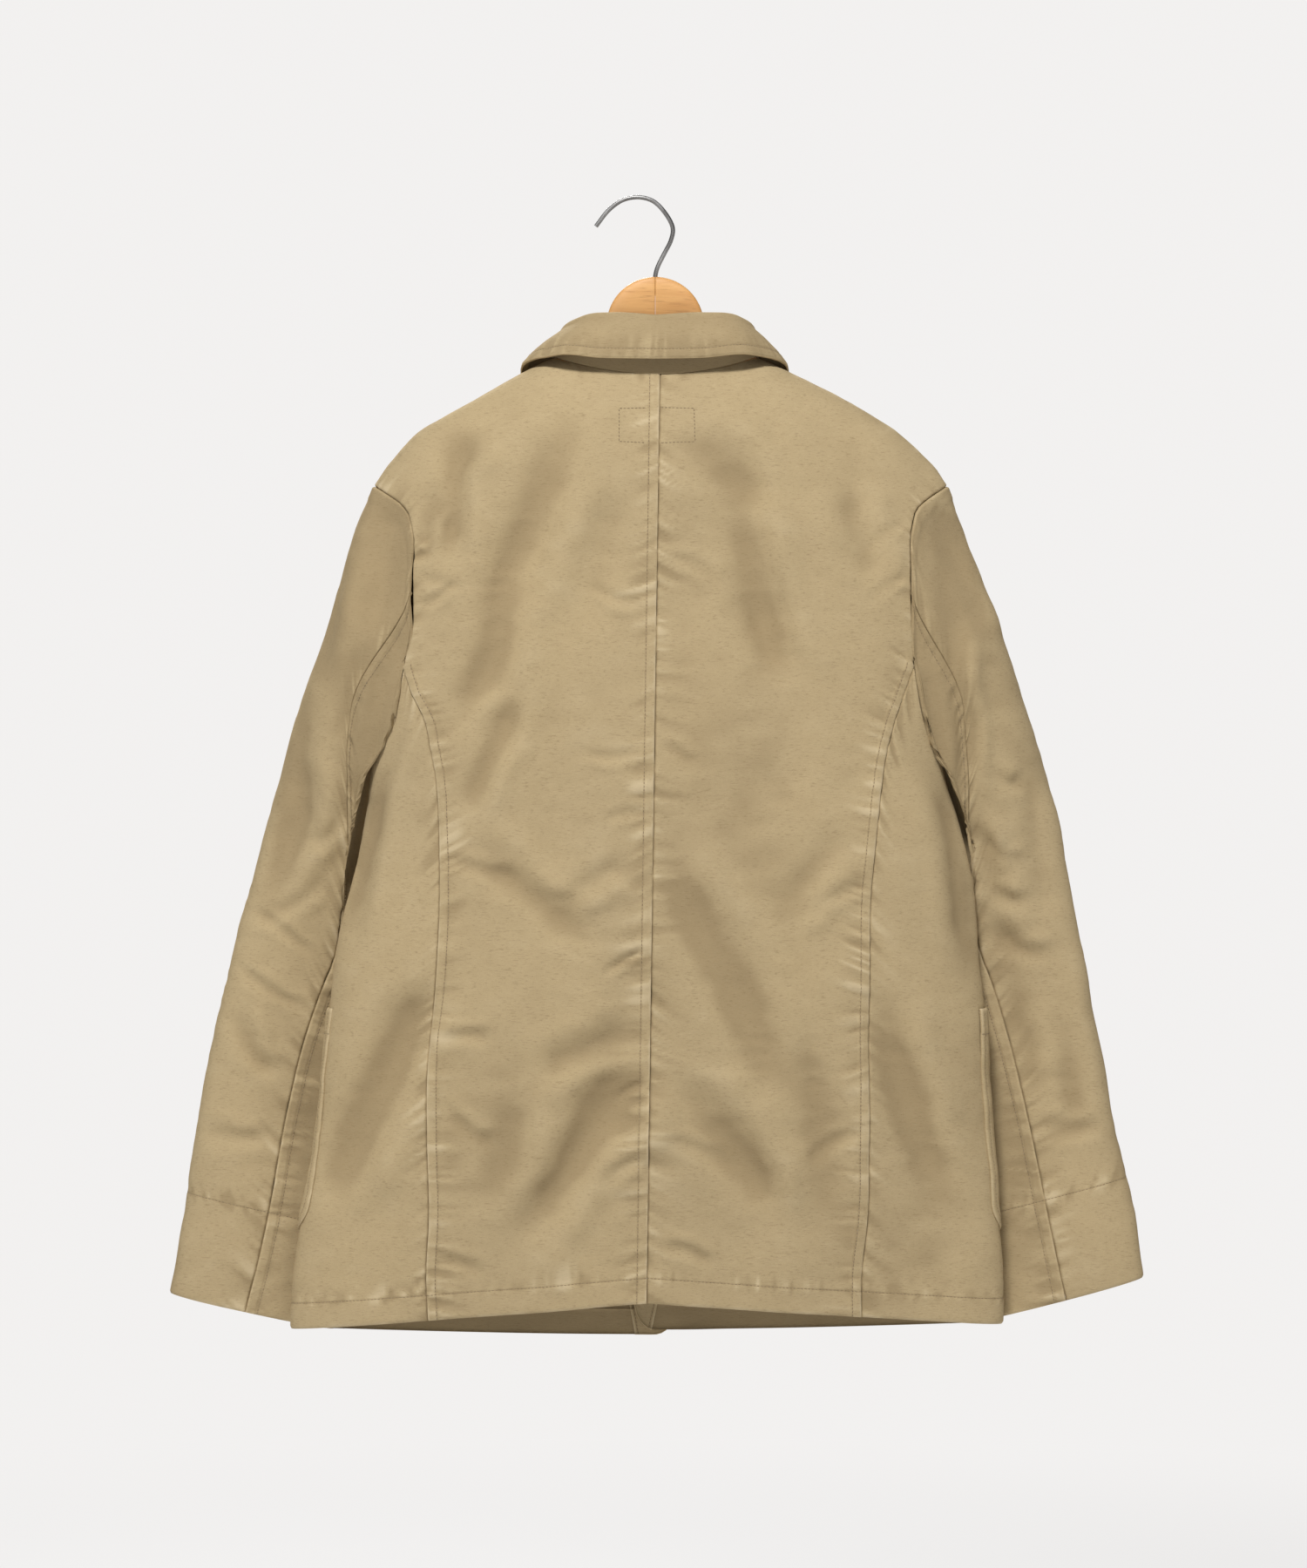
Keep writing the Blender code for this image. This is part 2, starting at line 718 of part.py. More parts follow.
def add_half(side, collection):
    """One half of the body with its sleeve, facing and pocket. Gives the half's pieces."""
    name, turned = SIDE_NAMES[side], side == LEFT
    back, under, front = panel(side, BACK), side_panel(side), panel(side, FRONT)
    loop = armhole_loop(back, under, front)
    rings = sleeve(side, loop)
    closed = np.concatenate([rings, rings[:, :1]], axis=1)
    body = shared_normals([back, under, front], turned)
    arm = shared_normals([closed], turned)
    mitre_armhole(loop, rings, body, arm)

    for piece, grid in (("back", back), ("side", under), ("front", front)):
        normals = normals_at(grid, body)
        outer = drawn_in(grid, normals, turned)
        add_wall(f"{piece}_{name}", outer, outer - normals * CLOTH, turned, collection)
    add_sleeve_pieces(side, rings, body, arm, collection)
    add_facing(side, front, normals_at(front, body), collection)
    add_pocket(side, under, front, body, collection)
    return back, front, body


def mitre_armhole(loop, rings, body, arm):
    """Where sleeve and body meet at a ridge, both walls end on the plane between them."""
    for place, after in zip(loop, rings[1]):
        key = key_of(place)
        first, second = body[key], arm[key]
        if is_ridge(after - place, first):
            body[key] = arm[key] = (first + second) / (1 + np.dot(first, second))


def is_ridge(run, normal):
    """Whether a sleeve that leaves the body along this run falls away from its surface."""
    return np.dot(run, normal) < RIDGE_LIMIT * np.linalg.norm(run)


def add_sleeve_pieces(side, rings, body, arm, collection):
    """The upper and the under sleeve, parted at the two seams that run down the sleeve, and
    across it below the sleeve head and where the cuff is turned up."""
    name, turned = SIDE_NAMES[side], side == LEFT
    count = rings.shape[1]
    first, second = SEAM_STRINGS
    upper = [i % count for i in range(second - count, first + 1)]
    under = list(range(first, second + 1))
    parts = {
        "upper_head": (upper, 0, HEAD_ROWS),
        "upper_sleeve": (upper, HEAD_ROWS, CUFF_ROW),
        "upper_cuff": (upper, CUFF_ROW, SLEEVE_ROWS),
        "under_head": (under, 0, UNDER_HEAD_ROWS),
        "under_sleeve": (under, UNDER_HEAD_ROWS, CUFF_ROW),
        "under_cuff": (under, CUFF_ROW, SLEEVE_ROWS),
    }
    started = rings.copy()
    for i, place in enumerate(rings[0]):
        own = body[key_of(place)]
        if not is_ridge(rings[1, i] - place, own):
            started[0, i] = place + own * UNDERARM_GAP
    for piece, (columns, low, high) in parts.items():
        rows = slice(low, high + 1)
        normals = normals_at(rings[rows][:, columns], arm)
        outer = drawn_in(started[rows][:, columns], normals, turned)
        add_wall(f"{piece}_{name}", outer, outer - normals * CLOTH, turned, collection)


def add_facing(side, front, normals, collection):
    """The strip of cloth inside a front's closing edge."""
    whole = math.ceil(FACING_COLUMNS[side])
    part = whole - FACING_COLUMNS[side]
    points = front[:, -whole - 1:].copy()
    across = normals[:, -whole - 1:].copy()
    points[:, 0] = mix(points[:, 0], points[:, 1], part)
    across[:, 0] = mix(across[:, 0], across[:, 1], part)
    outer = points - across * (CLOTH + SEAM_GAP)
    inner = outer - across * FACING_CLOTH
    add_wall(f"facing_{SIDE_NAMES[side]}", outer, inner, side == LEFT, collection)


def add_pocket(side, under, front, body, collection):
    """A patch pocket from the side fold to the front, made from the skin's own points."""
    rows = slice(HEM_ROWS, HEM_ROWS + POCKET_ROWS + 1)
    columns = [under[rows, i] for i in range(POCKET_SIDE_COLUMN, SIDE_COLUMNS + 1)]
    columns += [front[rows, i] for i in range(1, POCKET_FRONT_COLUMNS + 1)]
    points = np.stack(columns, axis=1)
    normals = normals_at(points, body)
    for corner, beside in ((0, 1), (-1, -2)):
        middle = (points[1, corner] + points[0, beside]) / 2
        points[0, corner] = mix(points[0, corner], middle, POCKET_ROUNDING)
    inner = points + normals * POCKET_GAP
    add_wall(f"pocket_{SIDE_NAMES[side]}", inner + normals * CLOTH, inner, side == LEFT, collection)


# ---------------------------------------------------------------- the collar


def neck_line(back, front):
    """Half of the neck seam's points, from the middle of the back to the front's centre."""
    return [*back[-1, :NECK_COLUMNS], *front[-1, SHOULDER_COLUMNS : BODY_COLUMNS + 1]]


def collar_base(side, places, body):
    """Where the collar stands: just past the neck edge, in the middle of its thickness."""
    found = []
    for top in places:
        place = top - body[key_of(top)] * CLOTH / 2
        place[2] = top[2] + COLLAR_BASE_GAP
        found.append(place)
    found[-1] = found[-1] + (side * COLLAR_END_GAP, 0, 0)
    return np.array(found)


def collar_section(side, base, around):
    """The collar's middle surface at one place: up the stand, over the roll, down the fall."""
    name = SIDE_NAMES[side]
    fold, edge = (
        np.array([side * read(rows, "around", name, around)]
                 + [read(rows, "around", axis, around) for axis in "yz"])
        for rows in (COLLAR_FOLD, COLLAR_EDGE)
    )
    out = (edge - fold) * (1, 1, 0)
    out /= np.linalg.norm(out)
    up = np.array([0, 0, 1])
    middle = fold - up * COLLAR_ROLL
    roll = [
        middle + COLLAR_ROLL * (up * math.sin(turn) - out * math.cos(turn))
        for turn in np.linspace(0, math.pi, COLLAR_ROLL_ROWS + 1)
    ]
    stand = [mix(base, roll[0], i / COLLAR_STAND_ROWS) for i in range(COLLAR_STAND_ROWS)]
    fall = [
        mix(roll[-1], edge, i / COLLAR_FALL_ROWS) + COLLAR_BULGE * math.sin(
            math.pi * i / COLLAR_FALL_ROWS) * (out + up) / 2
        for i in range(1, COLLAR_FALL_ROWS + 1)
    ]
    return stand + roll + fall


def add_collar(halves, collection):
    """A shirt collar from one front's centre round the neck to the other's."""
    sections = []
    for side, (back, front, body) in halves.items():
        base = collar_base(side, neck_line(back, front), body)
        count = 2 * (len(base) - 1)
        found = []
        for i in range(count + 1):
            low = min(i // 2, len(base) - 2)
            place = mix(base[low], base[low + 1], i / 2 - low)
            off_peak = (i / count - COLLAR_LIFT_AT) / COLLAR_LIFT_WIDTH
            place[2] += COLLAR_LIFT * math.exp(-off_peak * off_peak)
            found.append(collar_section(side, place, i / count))
        sections.append(found)
    left, right = sections
    grid = np.array(left[::-1] + right[1:])
    normals = normals_at(grid, shared_normals([grid], True))
    half = normals * COLLAR_CLOTH / 2
    add_wall("collar", grid + half, grid - half, True, collection)


# ---------------------------------------------------------------- hanger, hook and buttons


def hanger_edges(side, x):
    """The wood's top and bottom edge and half thickness at one place."""
    bottom, half = (read(HANGER, "x", name, x) for name in ("bottom", "half"))
    dome_foot = HANGER["x"][0]
    if x <= dome_foot:
        centre = DOME_TOP_Z - DOME_RADIUS
        return centre + math.sqrt(DOME_RADIUS**2 - x * x), bottom, half
    top = read(SHOULDER, SIDE_NAMES[side], "z", x) - read(HANGER, "x", "drop", x)
    return top, bottom, half


def rounded_section(x, top, bottom, half):
    """A ring round the wood, flat sided with rounded edges."""
    ring = []
    for i in range(HANGER_SIDES):
        turn = 2 * math.pi * (i + 0.5) / HANGER_SIDES
        y, z = (
            math.copysign(abs(value) ** (2 / HANGER_POWER), value)
            for value in (math.cos(turn), math.sin(turn))
        )
        ring.append((x, half * y, (top + bottom) / 2 + (top - bottom) / 2 * z))
    return ring


def add_hanger(side, cutter, collection):
    """One wooden half of the hanger, lofted from the middle joint out to the arm's end."""
    points = []
    for x in HANGER_STATIONS:
        points += rounded_section(side * x, *hanger_edges(side, x))
    faces = []
    for station in range(len(HANGER_STATIONS) - 1):
        for i in range(HANGER_SIDES):
            a, b = station * HANGER_SIDES + i, station * HANGER_SIDES + (i + 1) % HANGER_SIDES
            faces.append((a, b, b + HANGER_SIDES, a + HANGER_SIDES))
    faces.append(tuple(range(HANGER_SIDES))[::-1])
    faces.append(tuple(range(len(points) - HANGER_SIDES, len(points))))
    if side == LEFT:
        faces = [face[::-1] for face in faces]
    made = add_mesh(f"hanger_{SIDE_NAMES[side]}", points, faces, (WOOD, 0.45), collection)
    cut = made.modifiers.new("shank_hole", "BOOLEAN")
    cut.solver = "EXACT"
    cut.object = cutter


def add_shank_cutter(collection):
    """The drilled hole that the hook's shank sits in, on the joint between the two halves."""
    bpy.ops.mesh.primitive_cylinder_add(
        vertices=HOLE_SIDES,
        radius=(WIRE / 2 + SEAM_GAP) * MM,
        depth=2 * HOLE_DEPTH * MM,
        location=(CENTRE_X * MM, 0, DOME_TOP_Z * MM),
    )
    cutter = bpy.context.object
    cutter.name = "shank_cutter"
    for owner in list(cutter.users_collection):
        owner.objects.unlink(cutter)
    collection.objects.link(cutter)
    cutter.hide_render = True
    cutter.display_type = "WIRE"
    return cutter


def add_hook(collection):
    data = bpy.data.curves.new("hook", "CURVE")
    data.dimensions = "3D"
    data.bevel_depth = WIRE / 2 * MM
    data.bevel_resolution = WIRE_BEVEL
    data.use_fill_caps = True
    places = smooth_line(np.stack([HOOK["x"], HOOK["z"]], axis=1), HOOK_POINTS)
    spline = data.splines.new("POLY")
    spline.points.add(len(places) - 1)
    for point, (x, z) in zip(spline.points, places):
        point.co = (x * MM, 0, z * MM, 1)
    add_object("hook", data, (STEEL, 0.3, 1.0), collection)


def add_button(index, z, front_y, tilt, collection):
    """A turned button with a raised rim, set on the left front."""
    name = f"button_{index}"
    data = bpy.data.meshes.new(name)
    profile = [
        (radius * MM, 0, height * MM)
        for radius, height in zip(BUTTON_PROFILE["radius"], BUTTON_PROFILE["height"])
    ]
    data.from_pydata(profile, [(i, i + 1) for i in range(len(profile) - 1)], [])
    made = add_object(name, data, (HORN, 0.35), collection)
    screw = made.modifiers.new("turned", "SCREW")
    screw.steps = screw.render_steps = BUTTON_STEPS
    screw.use_merge_vertices = True
    screw.merge_threshold = 0.01 * MM
    made.location = (CENTRE_X * MM, (front_y + BUTTON_GAP) * MM, z * MM)
    made.rotation_euler = (-math.pi / 2 + tilt, 0, 0)


def add_buttons(front, collection):
    """Buttons down the left front's centre, each square to the cloth under it."""
    centre = front[:, -1 - OVERLAP_COLUMNS]
    for index, z in enumerate(BUTTON_Z):
        levels = (z - BUTTON_RADIUS, z, z + BUTTON_RADIUS)
        low, middle, high = np.interp(levels, centre[:, 2], centre[:, 1])
        tilt = math.atan2(low - high, 2 * BUTTON_RADIUS)
        add_button(index + 1, z, middle, tilt, collection)


def main():
    for old in list(bpy.data.objects):
        bpy.data.objects.remove(old)
    jacket = bpy.data.collections.new("work_jacket")
    cutters = bpy.data.collections.new("cutters")
    for made in (jacket, cutters):
        bpy.context.scene.collection.children.link(made)
    halves = {side: add_half(side, jacket) for side in SIDE_NAMES}
    add_collar(halves, jacket)
    cutter = add_shank_cutter(cutters)
    for side in SIDE_NAMES:
        add_hanger(side, cutter, jacket)
    add_hook(jacket)
    add_buttons(halves[LEFT][1], jacket)


main()
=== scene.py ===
"""The looks of a cotton work jacket on a wooden hanger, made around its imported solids.

Sizes and tables are in millimetres, with x from the jacket's centre line, and the meshes are in
metres. The cloth is the same skin as the solids', worked out on a finer grid, cut into the same
pieces and then creased, puckered along its seams and sewn. +Z is up and the back faces -Y.
"""

import math

import bpy
import numpy as np
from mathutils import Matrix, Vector
from mathutils.bvhtree import BVHTree


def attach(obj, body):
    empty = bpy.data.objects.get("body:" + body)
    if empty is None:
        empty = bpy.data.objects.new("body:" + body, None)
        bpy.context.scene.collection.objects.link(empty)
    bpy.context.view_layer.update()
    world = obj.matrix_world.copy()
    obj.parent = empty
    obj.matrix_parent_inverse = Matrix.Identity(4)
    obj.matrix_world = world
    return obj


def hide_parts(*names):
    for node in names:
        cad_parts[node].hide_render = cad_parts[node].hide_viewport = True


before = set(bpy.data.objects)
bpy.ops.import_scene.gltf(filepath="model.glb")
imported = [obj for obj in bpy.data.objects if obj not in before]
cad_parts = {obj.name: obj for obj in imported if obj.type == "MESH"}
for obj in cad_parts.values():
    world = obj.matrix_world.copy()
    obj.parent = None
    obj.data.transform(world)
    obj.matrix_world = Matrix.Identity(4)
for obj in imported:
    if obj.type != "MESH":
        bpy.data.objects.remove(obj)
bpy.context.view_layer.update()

MM = 0.001
LEFT, RIGHT = -1, 1
BACK, FRONT = -1, 1
SIDE_NAMES = {LEFT: "left", RIGHT: "right"}

# Cloth
CLOTH = 1.6
COLLAR_CLOTH = 2.4

# Places of the body, up from the hem
CENTRE_X = 13.0
NECK_BACK_Z = -139.0
NECK_SIDE_Z = -124.0
NECK_FRONT_Z = -212.0
NECK_HALF = 80.0
ARMHOLE_Z = {BACK: -366.0, FRONT: -380.0}
UNDERARM_DIP = 67.0
POCKET_TOP_Z = -631.0
POCKET_BOTTOM_Z = -806.0
HEM_SIDE_Z = {LEFT: -881.0, RIGHT: -877.0}
HEM_BACK_Z = -858.0
HEM_FRONT_DROP = 8.0
CENTRE_BACK_X = (-6.8, 3.4)

# Roundness of the body
SECTION_POWER = 2.3
SHOULDER_ARCH = 120.0
FRONT_SEAM_AT = 0.86
OVERLAP = 16.0
OVERLAP_INSET = 4.0
OVERLAP_EASE = (22.0, 62.0)

# Rows and columns of the skin's larger squares
HEM_ROWS = 3
POCKET_ROWS = 6
CHEST_ROWS = 8
YOKE_ROWS = 8
LOWER_ROWS = HEM_ROWS + POCKET_ROWS + CHEST_ROWS
NECK_COLUMNS = 4
SHOULDER_COLUMNS = 5
BODY_COLUMNS = NECK_COLUMNS + SHOULDER_COLUMNS
SIDE_COLUMNS = 8
OVERLAP_COLUMNS = 2
SLEEVE_ROWS = 20
TOP_CROWDING = 1.6
SLEEVE_CROWDING = 1.15


def table(names, rows):
    """A table as one array for each named column."""
    return dict(zip(names.split(), np.array(rows, float).T))


# Half widths and depths of the body at each level
BODY = table("z left right back front", (
    (-890, 284.5, 269, 36, 30),
    (-835, 280.5, 270, 41, 36),
    (-806, 276.5, 268, 44, 40),
    (-760, 270.0, 266, 48, 45),
    (-700, 262.5, 262, 53, 50),
    (-631, 254.0, 257, 57, 55),
    (-581, 247.5, 252, 60, 58),
    (-530, 237.0, 246, 62, 60),
    (-490, 229.0, 237, 63, 61),
    (-440, 222.0, 224, 64, 62),
    (-380, 225.0, 227, 63, 62),
    (-300, 228.0, 234, 60, 62),
    (-100, 228.0, 236, 60, 62),
))

# Where the curved side back seam runs
SIDE_BACK_SEAM = table("z left right", (
    (-890, 175, 160),
    (-832, 177, 160),
    (-796, 175, 164),
    (-728, 176, 165),
    (-664, 174, 165),
    (-595, 168, 165),
    (-543, 166, 166),
    (-489, 167, 171),
    (-454, 169, 175),
    (-430, 173, 179),
    (-405, 178, 186),
    (-385, 188, 194),
    (-366, 195, 201),
))

# The top line of the shoulders, out from the centre of the neck
SHOULDER = table("left right z", (
    (0.0, 0.0, -114.0),
    (40.0, 40.0, -116.0),
    (80.0, 80.0, -124.0),
    (103.0, 105.0, -135.0),
    (142.0, 149.0, -157.0),
    (167.0, 173.0, -171.0),
    (188.0, 192.0, -184.0),
    (200.6, 207.0, -198.0),
    (211.5, 220.0, -211.5),
    (219.5, 228.0, -224.0),
))

# The armhole seams, from the side panel's corner up to the shoulder's tip
ARMHOLE = {
    BACK: table("left right z", (
        (195.0, 201.0, -366.0),
        (193.0, 202.0, -357.0),
        (188.0, 200.0, -339.0),
        (188.0, 198.0, -312.0),
        (188.0, 197.0, -289.0),
        (187.0, 197.0, -270.0),
        (190.0, 199.5, -254.0),
        (196.0, 205.0, -241.0),
        (219.5, 228.0, -224.0),
    )),
    FRONT: table("left right z", (
        (193.5, 195.2, -380.0),
        (185.0, 187.0, -362.0),
        (178.0, 181.0, -338.0),
        (174.0, 178.0, -310.0),
        (174.0, 178.0, -285.0),
        (178.0, 182.0, -262.0),
        (188.0, 193.0, -243.0),
        (219.5, 228.0, -224.0),
    )),
}

# Each sleeve from armhole (0) to cuff (1): its outer edge's half width from the centre line, how
# far forward that edge hangs, the same for its inner edge, half its depth, and how the seams wind
SLEEVE = table("along left right outer_y inner_x inner_y depth wind", (
    (0.00, 219.5, 228, 0, 222, 0, 38, 0),
    (0.10, 245.0, 251, 6, 222, 20, 40, -3),
    (0.22, 268.0, 278, 14, 216, 44, 38, -8),
    (0.35, 294.0, 304, 22, 210, 62, 35, -11),
    (0.48, 314.0, 321, 27, 206, 72, 32, -1),
    (0.61, 336.0, 337, 29, 208, 74, 30, 6),
    (0.73, 351.5, 353, 28, 216, 70, 28, 8),
    (0.87, 367.0, 371, 24, 234, 60, 25, 6),
    (1.00, 382.0, 383, 20, 254, 50, 22, 5),
))
SLEEVE_OUTER_END_Z = {LEFT: -855.0, RIGHT: -843.0}
SLEEVE_INNER_END_Z = {LEFT: -886.0, RIGHT: -880.0}
SLEEVE_EASE = 0.15
SLEEVE_CLEARANCE = 7.0
UNDERARM_CLEARANCE = 1.4
CLEARANCE_RUN = 12.0
CLEARANCE_STEPS = 6
EVEN_STRINGS_AT = 0.5
SEAM_STRINGS = (6, 18)

# The largest folds of the body: a soft line from one place to another, and how far it sinks.
# They reach their whole depth where the skin stands out this far, and less near the edges.
FULL_FOLD_LEVEL = 0.67
FOLDS = table("face x z end_x end_z width depth", (
    (BACK, -76, -165, -100, -285, 26, 4.5),
    (BACK, -100, -285, -125, -400, 30, 3.5),
    (BACK, -140, -235, -143, -270, 20, 3.5),
    (BACK, 62, -225, 84, -330, 28, 4.0),
    (BACK, 84, -330, 100, -440, 30, 3.5),
    (BACK, 140, -200, 175, -250, 22, 3.0),
    (BACK, -8, -625, -70, -800, 26, 4.0),
    (BACK, 8, -660, 75, -800, 26, 4.0),
    (BACK, -170, -640, -238, -795, 24, 3.5),
    (BACK, 170, -630, 236, -800, 26, 3.5),
    (BACK, -60, -430, -95, -560, 34, 3.0),
    (BACK, 50, -470, 95, -590, 34, 3.0),
    (FRONT, -60, -250, -120, -420, 30, 4.0),
    (FRONT, 65, -260, 115, -430, 30, 4.0),
    (FRONT, -150, -480, -110, -620, 30, 3.5),
    (FRONT, 140, -500, 100, -640, 30, 3.5),
))

# The collar's fold line and lower edge, from the centre of the back (0) to its front end (1)
COLLAR_FOLD = table("around left right y z", (
    (0.00, 0, 0, -33, -94),
    (0.20, 30, 38, -31, -92),
    (0.38, 56, 64, -20, -94),
    (0.50, 70, 74, 0, -103),
    (0.57, 70, 72, 22, -117),
    (0.64, 67, 68, 41, -136),
    (0.82, 42, 42, 62, -174),
    (1.00, 3, 3, 70, -190),
))
COLLAR_EDGE = table("around left right y z", (
    (0.00, 0, 0, -47, -128),
    (0.20, 42, 38, -44, -127),
    (0.38, 78, 76, -32, -124),
    (0.50, 104, 103, 3, -130),
    (0.57, 105, 105, 28, -142),
    (0.64, 103, 104, 48, -164),
    (0.82, 84, 85, 67, -222),
    (1.00, 52, 52, 70, -262),
))
COLLAR_ROLL = 4.5
COLLAR_BASE_GAP = 0.95
COLLAR_LIFT, COLLAR_LIFT_AT, COLLAR_LIFT_WIDTH = 4.0, 0.57, 0.08
COLLAR_END_GAP = 2.0
COLLAR_BULGE = 3.0

# The hanger, out from its middle: how far its top edge lies below the shoulder's line, its
# bottom edge and half its thickness. Inside the first row its top is the dome's arc.
HANGER = table("x drop bottom half", (
    (36.0, -29.3, -153.0, 6.5),
    (40.0, -17.0, -153.5, 6.5),
    (46.0, -4.5, -154.5, 6.5),
    (58.0, 2.0, -157.5, 6.5),
    (80.0, 3.2, -165.0, 6.5),
    (105.0, 3.2, -177.0, 6.3),
    (140.0, 3.2, -195.0, 6.0),
    (172.0, 3.6, -211.0, 5.5),
    (186.0, 5.5, -216.0, 5.0),
    (193.0, 10.0, -216.0, 3.5),
))
DOME_RADIUS = 38.0
DOME_TOP_Z = -60.5

# The hook
WIRE = 3.45
HOOK = table("x z", (
    (-33.3, -21.0),
    (-23.6, -8.6),
    (-12.6, -0.6),
    (0.0, 1.75),
    (11.8, -1.6),
    (21.0, -11.0),
    (26.6, -22.0),
    (25.2, -32.0),
    (20.2, -42.0),
    (15.2, -52.0),
    (13.2, -59.0),
    (13.0, -65.0),
    (13.0, -75.0),
))

# Pockets and buttons
POCKET_SIDE_COLUMN = 4
POCKET_FRONT_COLUMNS = 4
BUTTON_Z = (-248.0, -366.0, -484.0, -602.0, -720.0)


# ---------------------------------------------------------------- numbers of the looks

# The photo's scale, where it was seen from and its light
PHOTO_WIDTH, PHOTO_HEIGHT = 1500, 1800
PHOTO_CENTRE_X, PHOTO_HOOK_Y = 752, 229
MM_PER_PIXEL = 0.68
CAMERA_AWAY = 4.0
FLOOR_Z = -1.3
LOOK_AT = (0.0, 0.0, -0.5)
WORLD_COLOUR, WORLD_LIGHT, WORLD_SEEN = (1.0, 0.985, 0.975), 0.12, 0.89
LIGHTS = (
    ("key", (-0.8, -4.0, 4.5), 1.2, 425.0),
    ("fill", (1.2, -3.2, -1.4), 1.4, 20.0),
    ("behind", (-0.5, 2.4, 1.6), 0.8, 76.0),
)
FLOOR_SIZE, FLOOR_FADE = 60.0, (0.7, 2.6)
FLOOR_COLOUR, FLOOR_SPECK, FLOOR_ROUGHNESS = (0.70, 0.695, 0.69), (0.72, 0.715, 0.71), 0.9
SENSOR_WIDTH = 36.0

# How far off a line of sight starts, a distance beyond any in the cloth, and the smallest
# lengths that are divided by
AFAR = 300.0
NEVER = 1e9
TINY, TINY_SQUARE = 1e-9, 1e-12

# The solids that each sleeve piece stands for
NODES = {
    "upper_sleeve": ("upper_head", "upper_sleeve", "upper_cuff"),
    "under_sleeve": ("under_head", "under_sleeve", "under_cuff"),
}

# How finely the skin is worked out, and the spacing of the shown mesh
ROW_FINE, COLUMN_FINE, STRING_FINE, SLEEVE_FINE = 10, 7, 5, 9
ARMHOLE_POINTS = 40
CORNER_RADIUS = 22.0
COLUMN_SPACING, ROW_SPACING = 5.8, 2.6
COLLAR_SPACING = 2.5
COLLAR_FINE = 12

# Thickness of the cloth and its hems, and how far in its edges are sewn
THIN = 1.3
LAYER_GAP = 0.3
SEAM_STEP = 0.8
HEM_STEP, HEM_STEP_END, HEM_EXTRA, HEM_EXTRA_END = 0.35, 2.2, 1.0, 1.5
SHOULDER_LAP = 0.7
FACING_WIDTH = {LEFT: 44.0, RIGHT: 29.0}
SEW_INSET, HEM_INSET, CUFF_INSET, FACING_INSET = 7.5, 20.0, 80.0, 2.8

# Hanging cloth: the waves' sizes and heights, the crumples' height, size and patches, and how
# far below the neck and shoulders the cloth is held flat and then comes free
SKIN_SEED = 21
WAVES = (((60, 60, 110), 3.0), ((30, 30, 38), 1.3), ((13, 13, 9), 0.3))
CRUMPLE, CRUMPLE_SIZE, CRUMPLE_PATCH, CRUMPLE_LEVEL = 1.3, (22, 22, 11), 70, 0.5
HELD, HELD_RUN = 5.0, 45.0

# A crease: where it starts to show as the cloth turns to the viewer, how its width varies along
# it, its reach and its lips in half widths, and the part of its length over which an end fades
FACING_SLOPE, FACING_START = 1.6, 0.25
CREASE_DEPTH, CREASE_POINTS, CREASE_REACH, CREASE_TAPER = 1.5, 12, 3.2, 0.32
CREASE_VARIES, CREASE_WAVES, CREASE_SEED = 0.25, 5, 7
LIP_HEIGHT, LIP_AT, LIP_WIDTH, LIP_LEAN = 0.42, 1.75, 0.8, 0.5
# painted shade in the troughs of the creases, and wear on their ridges
TROUGH_SHADE, WORN_RIDGE = 0.16, 0.03
PATCHY_SIZE, PATCHY_SEED, PATCHY_RUB = (16, 16, 11), 41, 0.22

# Painted shade: of the insides, and of the sleeves as far as a first distance from the armhole
# and then less and less over a second
INSIDE_SHADE = -0.9
SLEEVE_SHADE, SLEEVE_SHADE_FADE = {LEFT: 0.85, RIGHT: 0.5}, (60, 240)
UNDER_SHADE, UNDER_SHADE_FADE = 0.35, (60, 260)

# Edges and sewn lines. A rolled edge's wear lies a part of the roll's width from it. A sleeve's
# head stands up just past its edge, and the side seams are felled a little past the armhole.
ROLL_WEAR_IN, ROLL_WEAR_WIDTH = 0.6, 1.3
ROLL_WEAR, ROLL_WEAR_VARIES, ROLL_WEAR_LENGTH, ROLL_SEED = 0.8, 0.5, 9, 3
# the tucks' and the sewn lines' shade numbers paint shade into their dips and grooves
TUCK_DEPTH, TUCK_WIDTH, TUCK_SHADE, TUCK_SHADE_WIDTH = 1.5, 1.0, 1.1, 1.1
LINE_DEPTH, LINE_WIDTH, LINE_SHADE, LINE_SHADE_WIDTH = 0.35, 0.8, 0.6, 0.7
FELLED_END, FELLED_GROOVE, FELLED_WORN, FELLED_WORN_END = (0.2, 1.6), 0.4, 0.12, (0, 1.2)
FELLED_PUCKER, FELLED_REACH = 0.9, 14.0
HEAD_RISE, HEAD_END, HEAD_START = 0.7, (9, 4), 1.5
ARMHOLE_OVERRUN = 2

# Puckers: how they slant, the lengths of their ripples, each with its share of the height, how
# far their strength and reach vary, and how much the fine and broad ripples are worn pale on
# their ridges and given painted shade in their hollows
PUCKER_SLANT, PUCKER_SLANT_LENGTH, PUCKER_HEIGHT = 0.35, 70, 1.35
PUCKER_RIPPLES = ((3.3, 0.45), (6.4, 0.6), (14, 0.35))
PUCKER_STRENGTH, PUCKER_VARIES, PUCKER_LENGTH, PUCKER_RANGE = 0.95, 0.5, 37, (0.3, 1.5)
PUCKER_REACH_VARIES, PUCKER_REACH_LENGTH = 0.5, 9
PUCKER_EDGE, PUCKER_LEAST, PUCKER_NEAR = (0.55, 0.45), 0.1, 10
PUCKER_WEAR_AND_SHADE, PUCKER_WEAR_AND_SHADE_LEVEL = (0.8, 0.5), 0.1

